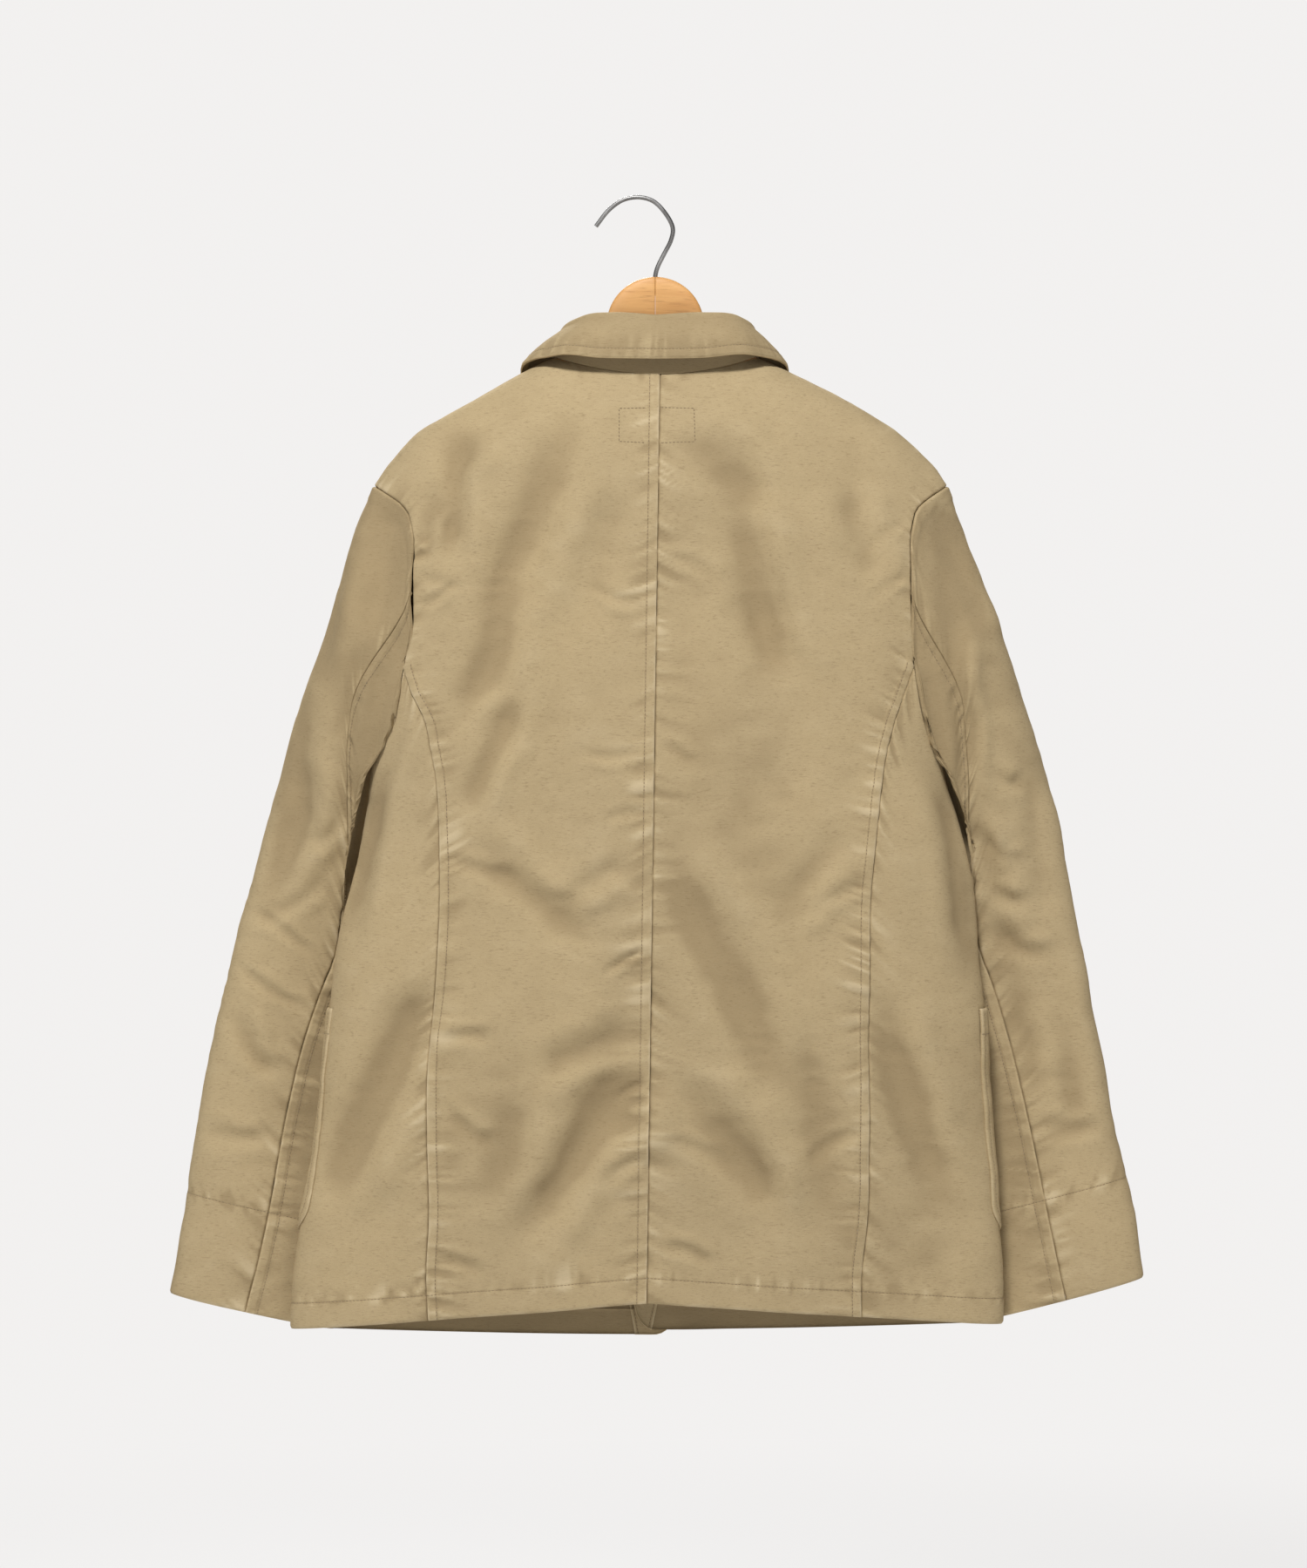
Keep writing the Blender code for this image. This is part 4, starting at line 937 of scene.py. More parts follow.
def grid_normals(grid, turned):
    """Outward normals of a grid of points."""
    across, up = np.gradient(grid, axis=1), np.gradient(grid, axis=0)
    return unit(np.cross(across, up) * (-1 if turned else 1))


class Cloth:
    """One piece of cloth: its skin, the relief on it, how worn it is and its painted shade."""

    def __init__(self, name, grid, turned):
        self.name, self.grid, self.turned = name, grid, turned
        self.normals = grid_normals(grid, turned)
        self.across, self.up = travelled(grid, 1), travelled(grid, 0)
        self.lift = np.zeros(grid.shape[:2])
        self.rub = np.zeros(grid.shape[:2])
        self.thickness = np.full(grid.shape[:2], THIN)

    def edge(self, name):
        """Distance from one edge of the piece, and distance travelled along that edge."""
        away, run = {
            "first": (self.across, self.up[:, :1]),
            "last": (self.across[:, -1:] - self.across, self.up[:, -1:]),
            "foot": (self.up, self.across[:1]),
            "head": (self.up[-1:] - self.up, self.across[-1:]),
        }[name]
        return away, np.broadcast_to(run, away.shape)

    def outer(self):
        return self.grid + self.normals * self.lift[..., None]

    def inner(self):
        return self.outer() - self.normals * self.thickness[..., None]

    def line(self, edge, inset, stop=None):
        """The row or column of points that runs at a stated distance from an edge."""
        away, _ = self.edge(edge)
        sideways = edge in ("first", "last")
        middle = away[away.shape[0] // 2] if sideways else away[:, away.shape[1] // 2]
        index = int(np.argmin(np.abs(middle - inset)))
        points = self.outer()
        return (points[:, index] if sideways else points[index])[:stop]


def roll_edge(cloth, edge, depth, width, rub=0.6):
    """Rounds the cloth over at one edge, as a folded or turned edge is, and wears it pale."""
    away, run = cloth.edge(edge)
    cloth.lift -= depth * bump(away, width)
    varied = ROLL_WEAR + ROLL_WEAR_VARIES * noise1(run / ROLL_WEAR_LENGTH, ROLL_SEED)
    cloth.rub += rub * bump(away - ROLL_WEAR_IN * width, ROLL_WEAR_WIDTH * width) * varied


def sink_edge(cloth, edge, on=1.0):
    """Where the cloth passes under a neighbour's fold: it dips and gets painted shade."""
    away, _ = cloth.edge(edge)
    cloth.lift -= on * TUCK_DEPTH * bump(away, TUCK_WIDTH)
    cloth.rub -= on * TUCK_SHADE * bump(away, TUCK_SHADE_WIDTH)


def pucker(cloth, edge, inset, seed, height, reach, on=1.0):
    """Ripples across a sewn line, uneven in size and spacing, dying away on both sides. Their
    ridges are worn pale and their hollows get painted shade.
    """
    away, run = cloth.edge(edge)
    slant = 1 + noise1(run / PUCKER_SLANT_LENGTH, seed + 5)
    skew = run + PUCKER_SLANT * (away - inset) * slant
    waves = [noise1(skew / long, seed + i) for i, (long, _) in enumerate(PUCKER_RIPPLES)]
    ripple = sum(share * wave for (_, share), wave in zip(PUCKER_RIPPLES, waves))
    worn_and_shaded = sum(share * wave for share, wave in zip(PUCKER_WEAR_AND_SHADE, waves)) - PUCKER_WEAR_AND_SHADE_LEVEL
    strong = PUCKER_STRENGTH + PUCKER_VARIES * noise1(run / PUCKER_LENGTH, seed + 3)
    strong = np.clip(strong, *PUCKER_RANGE)
    long = reach * (1 + PUCKER_REACH_VARIES * noise1(run / PUCKER_REACH_LENGTH, seed + 4))
    if inset < PUCKER_NEAR:
        level, rise = PUCKER_EDGE
        inner = level + rise * away / max(inset, PUCKER_LEAST)
    else:
        inner = bump(away - inset, reach / 2)
    fade = np.where(away < inset, inner, bump(away - inset, long)) * on
    cloth.lift += PUCKER_HEIGHT * height * ripple * strong * fade
    cloth.rub += worn_and_shaded * strong * fade


def felled(cloth, edge, seed, on=1.0):
    """The upper side of a felled seam: raised as far as its stitches, puckered beyond them. Along
    the stitches it gets painted shade.
    """
    past = cloth.edge(edge)[0] - SEW_INSET
    line = bump(past, LINE_SHADE_WIDTH)
    cloth.lift += on * (SEAM_STEP * within(past, *FELLED_END) - FELLED_GROOVE * line)
    cloth.rub += on * (FELLED_WORN * within(past, *FELLED_WORN_END) - LINE_SHADE * line)
    pucker(cloth, edge, SEW_INSET, seed, FELLED_PUCKER, FELLED_REACH, on)


def sink_line(cloth, edge, inset, width=LINE_WIDTH, on=1.0):
    """The groove that a line of stitches pulls into the cloth, with painted shade along it."""
    away, _ = cloth.edge(edge)
    cloth.lift -= on * LINE_DEPTH * bump(away - inset, width)
    cloth.rub -= on * LINE_SHADE * bump(away - inset, LINE_SHADE_WIDTH)


def crease(points, facing, path, width, depth):
    """Relief of one crease: a trough with soft lips along a curve seen from the back or front."""
    path = smooth_line(path, CREASE_POINTS)
    x, z = points[..., 0], points[..., 2]
    reach = CREASE_REACH * width
    low, high = path.min(axis=0) - reach, path.max(axis=0) + reach
    inside = (x > low[0]) & (x < high[0]) & (z > low[1]) & (z < high[1]) & (facing > 0)
    if not inside.any():
        return 0.0
    px, pz = x[inside], z[inside]
    near, at, hand = np.full(px.shape, NEVER), np.zeros(px.shape), np.zeros(px.shape)
    for i, (start, end) in enumerate(zip(path[:-1], path[1:])):
        run = end - start
        off_x, off_z = px - start[0], pz - start[1]
        t = (off_x * run[0] + off_z * run[1]) / (run @ run)
        held = np.clip(t, 0, 1)
        away = np.hypot(off_x - run[0] * held, off_z - run[1] * held)
        closer = away < near
        near = np.where(closer, away, near)
        at = np.where(closer, (i + held) / (len(path) - 1), at)
        hand = np.where(closer, np.sign(run[0] * off_z - run[1] * off_x), hand)
    varied = 1 + CREASE_VARIES * noise1(at * CREASE_WAVES, int(width * CREASE_SEED))
    out = near / width * varied
    shape = -bump(out, 1.0) + LIP_HEIGHT * bump(out - LIP_AT, LIP_WIDTH) * (1 + LIP_LEAN * hand)
    taper = ease(np.minimum(at, 1 - at) / CREASE_TAPER)
    found = np.zeros(x.shape)
    found[inside] = CREASE_DEPTH * depth * shape * taper * facing[inside]
    return found


def drape(points, normals, where):
    """Relief of hanging cloth: the listed creases over broad and fine waves."""
    total = np.zeros(points.shape[:2])
    for face in (BACK, FRONT):
        facing = ease(face * normals[..., 1] * FACING_SLOPE + FACING_START)
        for width, depth, *places in CREASES[where, face]:
            total += crease(points, facing, [seen(*place) for place in places], width, depth)
    for seed, (size, height) in enumerate(WAVES, SKIN_SEED):
        total += height * noise3(points, size, seed)
    crumple = noise3(points, CRUMPLE_SIZE, seed + 1)
    patches = np.clip(noise3(points, CRUMPLE_PATCH, seed + 2), 0, 1)
    total += CRUMPLE * (CRUMPLE_LEVEL - np.abs(crumple)) * patches
    return total


def seen(x, y):
    """The place behind a point of the photo, across and up."""
    return ((x - PHOTO_CENTRE_X) * MM_PER_PIXEL, (PHOTO_HOOK_Y - y) * MM_PER_PIXEL)


# ---------------------------------------------------------------- making pieces


def add_object(name, data):
    made = bpy.data.objects.new(name, data)
    bpy.context.scene.collection.objects.link(made)
    return made


def new_mesh(name, points, faces):
    """A mesh from points in millimetres, with x from the jacket's centre line."""
    data = bpy.data.meshes.new(name)
    placed = (np.asarray(points, float) + (CENTRE_X, 0, 0)) * MM
    data.from_pydata(placed.tolist(), [], [list(map(int, face)) for face in faces])
    return data


def add_piece(name, points, faces, finish, nodes=(), sharp=55.0):
    """A shown piece, smooth but at edges sharper than an angle, in the place of its solids."""
    data = new_mesh(name, points, faces)
    data.shade_smooth()
    if sharp:
        data.set_sharp_from_angle(angle=math.radians(sharp))
    data.materials.append(finish)
    made = add_object(name, data)
    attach(made, "root")
    if nodes:
        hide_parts(*nodes)
    return made


def grid_faces(rows, columns, offset, turned):
    index = np.arange(rows * columns).reshape(rows, columns) + offset
    a, b = index[:-1, :-1].ravel(), index[:-1, 1:].ravel()
    c, d = index[1:, 1:].ravel(), index[1:, :-1].ravel()
    return np.stack([a, d, c, b] if turned else [a, b, c, d], axis=1)


def boundary(rows, columns):
    """The indices round a grid's edge, in order."""
    index = np.arange(rows * columns).reshape(rows, columns)
    return np.concatenate([index[0], index[1:, -1], index[-1, -2::-1], index[-2:0:-1, 0]])


def add_cloth(cloth, nodes, finish):
    """The cloth as a closed wall."""
    rows, columns = cloth.lift.shape
    outer, inner = cloth.outer().reshape(-1, 3), cloth.inner().reshape(-1, 3)
    edge = boundary(rows, columns)
    after = np.roll(edge, -1)
    strip = [edge, edge + len(outer), after + len(outer), after]
    strip = np.stack(strip[::-1] if cloth.turned else strip, axis=1)
    faces = np.concatenate([
        grid_faces(rows, columns, 0, cloth.turned),
        grid_faces(rows, columns, len(outer), not cloth.turned),
        strip,
    ])
    points = np.concatenate([outer, inner])
    made = add_piece(f"cloth_{cloth.name}", points, faces, finish, nodes)
    # the inner faces get painted shade
    rub = np.concatenate([cloth.rub.ravel(), np.full(len(inner), INSIDE_SHADE)])
    layer = made.data.attributes.new("rub", "FLOAT", "POINT")
    layer.data.foreach_set("value", np.clip(rub, -1, 1).astype(np.float32))


def stitches(places, runs, normals, size):
    """Small rounded stitches, one at each place, lying along its run."""
    # an end, two squares of four corners and the other end
    ring = ((0, 1), (1, 0), (0, -1), (-1, 0))
    local = [(-STITCH_END, 0, 0)]
    local += [(at, y, z) for at in (-STITCH_FULL, STITCH_FULL) for y, z in ring]
    local.append((STITCH_END, 0, 0))
    sides = [(i, (i + 1) % 4) for i in range(4)]
    faces = [(0, 1 + after, 1 + i) for i, after in sides]
    faces += [(1 + i, 1 + after, 5 + after, 5 + i) for i, after in sides]
    faces += [(9, 5 + i, 5 + after) for i, after in sides]
    side = np.cross(normals, runs)
    local = np.array(local) * size
    points = (
        places[:, None] + local[None, :, :1] * runs[:, None] + local[None, :, 1:2] * side[:, None]
        + local[None, :, 2:] * normals[:, None]
    )
    count = len(local)
    found = [tuple(i + k * count for i in face) for k in range(len(places)) for face in faces]
    return points.reshape(-1, 3), found


class Sewing:
    """The stitches of one piece, gathered into a single mesh."""

    def __init__(self, cloth):
        self.name = cloth.name
        self.points, self.faces, self.total = [], [], 0
        outer = cloth.outer().reshape(-1, 3)
        rows, columns = cloth.lift.shape
        self.tree = BVHTree.FromPolygons(
            outer.tolist(), grid_faces(rows, columns, 0, cloth.turned).tolist()
        )

    def sew(self, line):
        """Stitches along a line of points, on the cloth."""
        line = np.asarray(line, float)
        reach = reached(line)
        count = int(reach[-1] / STITCH_PITCH)
        at = (np.arange(count) + 0.5) * reach[-1] / count
        half = STITCH[0] / 2
        middle, before, after = (at_reach(at + off, reach, line) for off in (0, -half, half))
        near = [self.tree.find_nearest(Vector(place)) for place in middle]
        places, normals = (np.array([found[i] for found in near]) for i in (0, 1))
        runs = after - before
        runs = unit(runs - normals * np.sum(runs * normals, axis=1, keepdims=True))
        points, faces = stitches(places + normals * STITCH_SEAT, runs, normals, STITCH)
        self.points.append(points)
        self.faces += [tuple(i + self.total for i in face) for face in faces]
        self.total += len(points)

    def look(self, face, x, z):
        """Where a level line of sight at the back or the front meets the cloth, and its normal."""
        spot, normal, _, _ = self.tree.ray_cast(Vector((x, face * AFAR, z)), Vector((0, -face, 0)))
        return spot, normal

    def trace(self, start, end):
        """A line on the back between two points of the photo."""
        places = (mix(np.array(seen(*start)), np.array(seen(*end)), t)
                  for t in np.linspace(0, 1, TRACE_POINTS))
        found = (self.look(BACK, *place)[0] for place in places)
        return np.array([spot for spot in found if spot is not None])

    def finish(self, finish):
        points = np.concatenate(self.points)
        add_piece(f"stitches_{self.name}", points, self.faces, finish, sharp=0)


# ---------------------------------------------------------------- materials


class Shader:
    """A small helper that wires the nodes of one material."""

    def __init__(self, name, colour, roughness, **sockets):
        self.material = bpy.data.materials.new(name)
        self.material.use_nodes = True
        self.nodes, self.links = self.material.node_tree.nodes, self.material.node_tree.links
        self.shader = self.nodes["Principled BSDF"]
        self.shader.inputs["Base Color"].default_value = (*colour, 1)
        self.shader.inputs["Roughness"].default_value = roughness
        for socket, value in sockets.items():
            self.shader.inputs[socket.replace("_", " ")].default_value = value
        self.place = self.nodes.new("ShaderNodeTexCoord").outputs["Object"]
        self.material.diffuse_color = (*colour, 1)

    def scaled(self, scale):
        node = self.nodes.new("ShaderNodeMapping")
        node.inputs["Scale"].default_value = scale
        self.links.new(self.place, node.inputs["Vector"])
        return node.outputs["Vector"]

    def noise(self, scale, detail=2.0, stretch=(1, 1, 1), roughness=0.5, distortion=0.0):
        node = self.nodes.new("ShaderNodeTexNoise")
        node.inputs["Scale"].default_value = scale
        node.inputs["Detail"].default_value = detail
        node.inputs["Roughness"].default_value = roughness
        node.inputs["Distortion"].default_value = distortion
        self.links.new(self.scaled(stretch), node.inputs["Vector"])
        return node.outputs["Fac"]

    def attribute(self, name):
        node = self.nodes.new("ShaderNodeAttribute")
        node.attribute_name = name
        return node.outputs["Fac"]

    def math(self, kind, first, second):
        node = self.nodes.new("ShaderNodeMath")
        node.operation = kind
        for socket, value in zip(node.inputs, (first, second)):
            if isinstance(value, (int, float)):
                socket.default_value = value
            else:
                self.links.new(value, socket)
        return node.outputs["Value"]

    def between(self, value, low, high, out_low=0.0, out_high=1.0):
        node = self.nodes.new("ShaderNodeMapRange")
        node.interpolation_type = "SMOOTHSTEP"
        self.links.new(value, node.inputs["Value"])
        names = ("From Min", "From Max", "To Min", "To Max")
        for socket, number in zip(names, (low, high, out_low, out_high)):
            node.inputs[socket].default_value = number
        return node.outputs["Result"]

    def mix(self, factor, first, second):
        node = self.nodes.new("ShaderNodeMix")
        node.data_type = "RGBA"
        for socket, value in (("Factor", factor), ("A", first), ("B", second)):
            target = next(s for s in node.inputs if s.name == socket and s.enabled)
            if isinstance(value, (int, float)):
                target.default_value = value
            elif isinstance(value, tuple):
                target.default_value = (*value, 1)
            else:
                self.links.new(value, target)
        return next(s for s in node.outputs if s.enabled)

    def layers(self, colour, *layers):
        """Colours over one another, each by how far its pattern is from a low to a high value."""
        for pattern, low, high, amount, over in layers:
            colour = self.mix(self.between(pattern, low, high, 0.0, amount), colour, over)
        self.use("Base Color", colour)

    def bump(self, height, distance, strength, before=None):
        node = self.nodes.new("ShaderNodeBump")
        node.inputs["Strength"].default_value = strength
        node.inputs["Distance"].default_value = distance
        self.links.new(height, node.inputs["Height"])
        if before is not None:
            self.links.new(before, node.inputs["Normal"])
        return node.outputs["Normal"]

    def use(self, socket, output):
        self.links.new(output, self.shader.inputs[socket])


def cloth_material():
    """Brushed, washed heavy cotton: faintly mottled, with short flecks along the weft."""
    made = Shader("brushed_cotton", CLOTH_MID, 0.95, Sheen_Weight=0.12, Sheen_Roughness=0.6,
                  Specular_IOR_Level=0.12)
    made.shader.inputs["Sheen Tint"].default_value = (*CLOTH_LIGHT, 1)
    cloud = made.noise(7, 3.0, (1, 1, 0.7))
    patch = made.noise(70, 4.0, (1, 1, 1.6), 0.6)
    fleck = made.noise(250, 2.0, (1, 1, 4.6), 0.55)
    grain = made.noise(1500, 2.0, (1, 1, 1.7), 0.7)
    rub = made.attribute("rub")
    made.layers(
        CLOTH_MID,
        (cloud, 0.3, 0.7, 1.0, CLOTH_WARM),
        (patch, 0.4, 0.75, 0.05, CLOTH_LIGHT),
        (patch, 0.58, 0.28, 0.05, CLOTH_DARK),
        (fleck, 0.55, 0.72, 0.42, CLOTH_DARK),
        (fleck, 0.44, 0.25, 0.2, CLOTH_LIGHT),
        (grain, 0.42, 0.72, 0.22, CLOTH_DARK),
        # pale where the cloth is worn, and darker where shade is painted on it
        (rub, 0.0, 0.9, 0.55, CLOTH_WORN),
        (rub, 0.0, -0.9, 0.45, CLOTH_DARK),
    )
    soft = made.bump(made.noise(120, 3.0, (1, 1, 1.6)), 0.0008, 0.25)
    weave = made.math("ADD", fleck, made.math("MULTIPLY", grain, 0.7))
    made.use("Normal", made.bump(weave, 0.00035, 0.35, soft))
    return made.material


def thread_material():
    made = Shader("cotton_thread", THREAD_AND_HOLE_SHADE, 0.8, Sheen_Weight=0.15)
    made.layers(THREAD_AND_HOLE_SHADE, (made.noise(500), 0.35, 0.65, 1.0, CLOTH_DARK))
    made.use("Normal", made.bump(made.noise(2600, 1.0, (1, 1, 2.5)), 0.0002, 0.5))
    return made.material


def wood_material():
    """Light honey wood, its grain along the hanger, under a thin satin varnish."""
    made = Shader("hanger_wood", WOOD_MID, 0.55, Coat_Weight=0.1, Coat_Roughness=0.45)
    grain = made.noise(42, 5.0, (0.22, 1.2, 2.4), 0.6, 0.8)
    pores = made.noise(420, 3.0, (0.1, 1, 1.6), 0.7)
    cloud = made.noise(16)
    made.layers(
        WOOD_MID,
        (grain, 0.32, 0.68, 1.0, WOOD_LIGHT),
        (pores, 0.52, 0.75, 0.55, WOOD_DARK),
        (cloud, 0.45, 0.8, 0.4, WOOD_DARK),
    )
    made.use("Roughness", made.between(pores, 0.3, 0.8, 0.5, 0.7))
    made.use("Normal", made.bump(pores, 0.0002, 0.25))
    return made.material


def steel_material():
    made = Shader("hook_steel", STEEL_DARK, 0.5, Metallic=1.0)
    cloud = made.noise(90, 3.0, (1, 1, 0.4))
    made.use("Roughness", made.between(cloud, 0.3, 0.7, 0.44, 0.56))
    made.layers(STEEL_DARK, (cloud, 0.35, 0.7, 1.0, STEEL_LIGHT))
    return made.material


def horn_material():
    made = Shader("horn_button", HORN, 0.34, Coat_Weight=0.2, Coat_Roughness=0.2)
    cloud = made.noise(170, 4.0, (1, 1, 2.2), 0.6, 1.5)
    made.layers(HORN, (cloud, 0.38, 0.66, 1.0, HORN_LIGHT))
    made.use("Roughness", made.between(made.noise(900), 0.3, 0.7, 0.3, 0.46))
    made.use("Normal", made.bump(made.noise(1400, 1.0), 0.0001, 0.2))
    return made.material


# ---------------------------------------------------------------- the garment


def shape(grid, low, high, foot, head):
    """A skin grid with its rows and columns set for its seams."""
    return spread_rows(spread(grid, low, high), foot, head)


def hem_relief(cloth, edge, inset, seed):
    """A turned-up edge: two layers as far as the stitches, then the single cloth."""
    away, _ = cloth.edge(edge)
    cloth.lift += HEM_STEP * within(away, inset, HEM_STEP_END)
    cloth.thickness += HEM_EXTRA * within(away, inset, HEM_EXTRA_END)
    sink_line(cloth, edge, inset, width=0.7)
    pucker(cloth, edge, inset, seed, height=0.38, reach=9.0)
    roll_edge(cloth, edge, depth=0.9, width=1.0)


def add_relief(cloth, where):
    """The cloth's creases, with painted shade in their troughs and wear on their ridges, and its
    patchy wear. The body's are held flat at its upper edge."""
    hang = drape(cloth.grid, cloth.normals, where)
    if where == "body":
        hang = hang * ease((cloth.edge("head")[0] - HELD) / HELD_RUN)
    cloth.lift += hang
    cloth.rub += np.where(hang < 0, TROUGH_SHADE, WORN_RIDGE) * hang
    cloth.rub += PATCHY_RUB * noise3(cloth.grid, PATCHY_SIZE, PATCHY_SEED)


def join_side(cloth, edge, face, seed):
    """A panel's long edge: felled on the side panel as far as the armhole, and tucked under the
    sleeve above it. Gives the row where the armhole starts."""
    levels = cloth.grid[:, 0 if edge == "first" else -1, 2]
    seam = (levels < ARMHOLE_Z[face] + ARMHOLE_OVERRUN)[:, None] * np.ones(cloth.lift.shape)
    felled(cloth, edge, seed, seam)
    pucker(cloth, edge, 0.0, seed + 5, height=0.6, reach=14.0, on=1 - seam)
    sink_edge(cloth, edge, 1 - seam)
    roll_edge(cloth, edge, depth=0.6, width=0.7)
    return int(np.argmax(levels > ARMHOLE_Z[face]))


def make_back(side, skin):
    upper = side == LEFT
    grid = shape(skin, SEWN if upper else PLAIN, SEWN, HEM, PLAIN)
    cloth = Cloth(f"back_{SIDE_NAMES[side]}", grid, upper)
    add_relief(cloth, "body")
    if upper:
        felled(cloth, "first", SEEDS["back_middle"])
        roll_edge(cloth, "first", depth=0.6, width=0.7)
    else:
        pucker(cloth, "first", 0.0, SEEDS["back_middle"] + 1, height=0.8, reach=17.0)
        sink_edge(cloth, "first")
    armhole = join_side(cloth, "last", BACK, SEEDS["back_side"] + side)
    hem_relief(cloth, "foot", HEM_INSET, SEEDS["back_hem"] + side)
    pucker(cloth, "head", 0.0, SEEDS["back_neck"] + side, height=0.2, reach=10.0)
    roll_edge(cloth, "head", depth=0.3, width=0.7)
    sewing = Sewing(cloth)
    if upper:
        sewing.sew(cloth.line("first", SEW_INSET))
    for start, end in LABEL_STITCHES[side]:
        sewing.sew(sewing.trace(start, end))
    sewing.sew(cloth.line("last", SEW_INSET, armhole))
    sewing.sew(cloth.line("foot", HEM_INSET))
    return cloth, sewing


def make_side(side, skin):
    cloth = Cloth(f"side_{SIDE_NAMES[side]}", shape(skin, PLAIN, PLAIN, HEM, PLAIN), side == LEFT)
    add_relief(cloth, "body")
    pucker(cloth, "first", 0.0, SEEDS["side_back"] + side, height=0.8, reach=15.0)
    pucker(cloth, "last", 0.0, SEEDS["side_front"] + side, height=0.8, reach=15.0)
    for edge in ("first", "last", "head"):
        sink_edge(cloth, edge)
    hem_relief(cloth, "foot", HEM_INSET, SEEDS["side_hem"] + side)
    sewing = Sewing(cloth)
    sewing.sew(cloth.line("foot", HEM_INSET))
    return cloth, sewing


def make_front(side, skin):
    grid = shape(skin, SEWN, SEWN, HEM, PLAIN)
    grid[-1, :, 1] -= SHOULDER_LAP
    cloth = Cloth(f"front_{SIDE_NAMES[side]}", grid, side == LEFT)
    add_relief(cloth, "body")
    armhole = join_side(cloth, "first", FRONT, SEEDS["front_side"] + side)
    sink_line(cloth, "last", SEW_INSET)
    pucker(cloth, "last", SEW_INSET, SEEDS["front_edge"] + side, height=0.35, reach=10.0)
    roll_edge(cloth, "last", depth=0.9, width=1.0)
    roll_edge(cloth, "head", depth=0.3, width=0.7)
    hem_relief(cloth, "foot", HEM_INSET, SEEDS["front_hem"] + side)
    sewing = Sewing(cloth)
    sewing.sew(cloth.line("first", SEW_INSET, armhole))
    sewing.sew(cloth.line("last", SEW_INSET))
    sewing.sew(cloth.line("foot", HEM_INSET))
    return cloth, sewing


def make_facing(side, front):
    """The strip inside a front's closing edge, following the cloth that it lines."""
    away, _ = front.edge("last")
    wide = int(np.argmax(away[len(away) // 2] < FACING_WIDTH[side]))
    grid = (front.inner() - front.normals * (LAYER_GAP + THIN))[:, wide:]
    cloth = Cloth(f"facing_{SIDE_NAMES[side]}", spread(grid, FACING_SEWN, (0,)), side != LEFT)
    roll_edge(cloth, "first", depth=0.5, width=0.8)
    sink_line(cloth, "first", FACING_INSET)
    cloth.thickness += cloth.lift
    sewing = Sewing(cloth)
    sewing.sew(cloth.line("first", FACING_INSET))
    return cloth, sewing


def pocket_edge(u, v, width):
    """How far inside the pocket's rounded outline a place lies, measured up from its foot."""
    half = width / 2
    across = np.abs(u - half) - (half - POCKET_RADIUS)
    below = POCKET_RADIUS - v
    corner = np.hypot(np.clip(across, 0, None), np.clip(below, 0, None))
    inside = np.minimum(np.maximum(across, below), 0)
    return POCKET_RADIUS - corner - inside


def pocket_outline(up, reach, grid):
    """The line that a pocket is sewn on by, inside its edge: down, round its foot and up."""
    path = [(POCKET_SEW, up[-1])]
    radius = POCKET_RADIUS - POCKET_SEW
    for turn in np.linspace(0, math.pi / 2, POCKET_TURNS):
        parts = (math.cos(turn), math.sin(turn))
        path.append(tuple(POCKET_RADIUS - radius * part for part in parts))
    path += [(-a, b) for a, b in path[::-1]]
    found = []
    for a, b in path:
        row = int(np.argmin(np.abs(up - b)))
        found.append(at_reach(a if a > 0 else reach[row, -1] + a, reach[row], grid[row]))
    return along(found, np.linspace(0, 1, POCKET_POINTS))


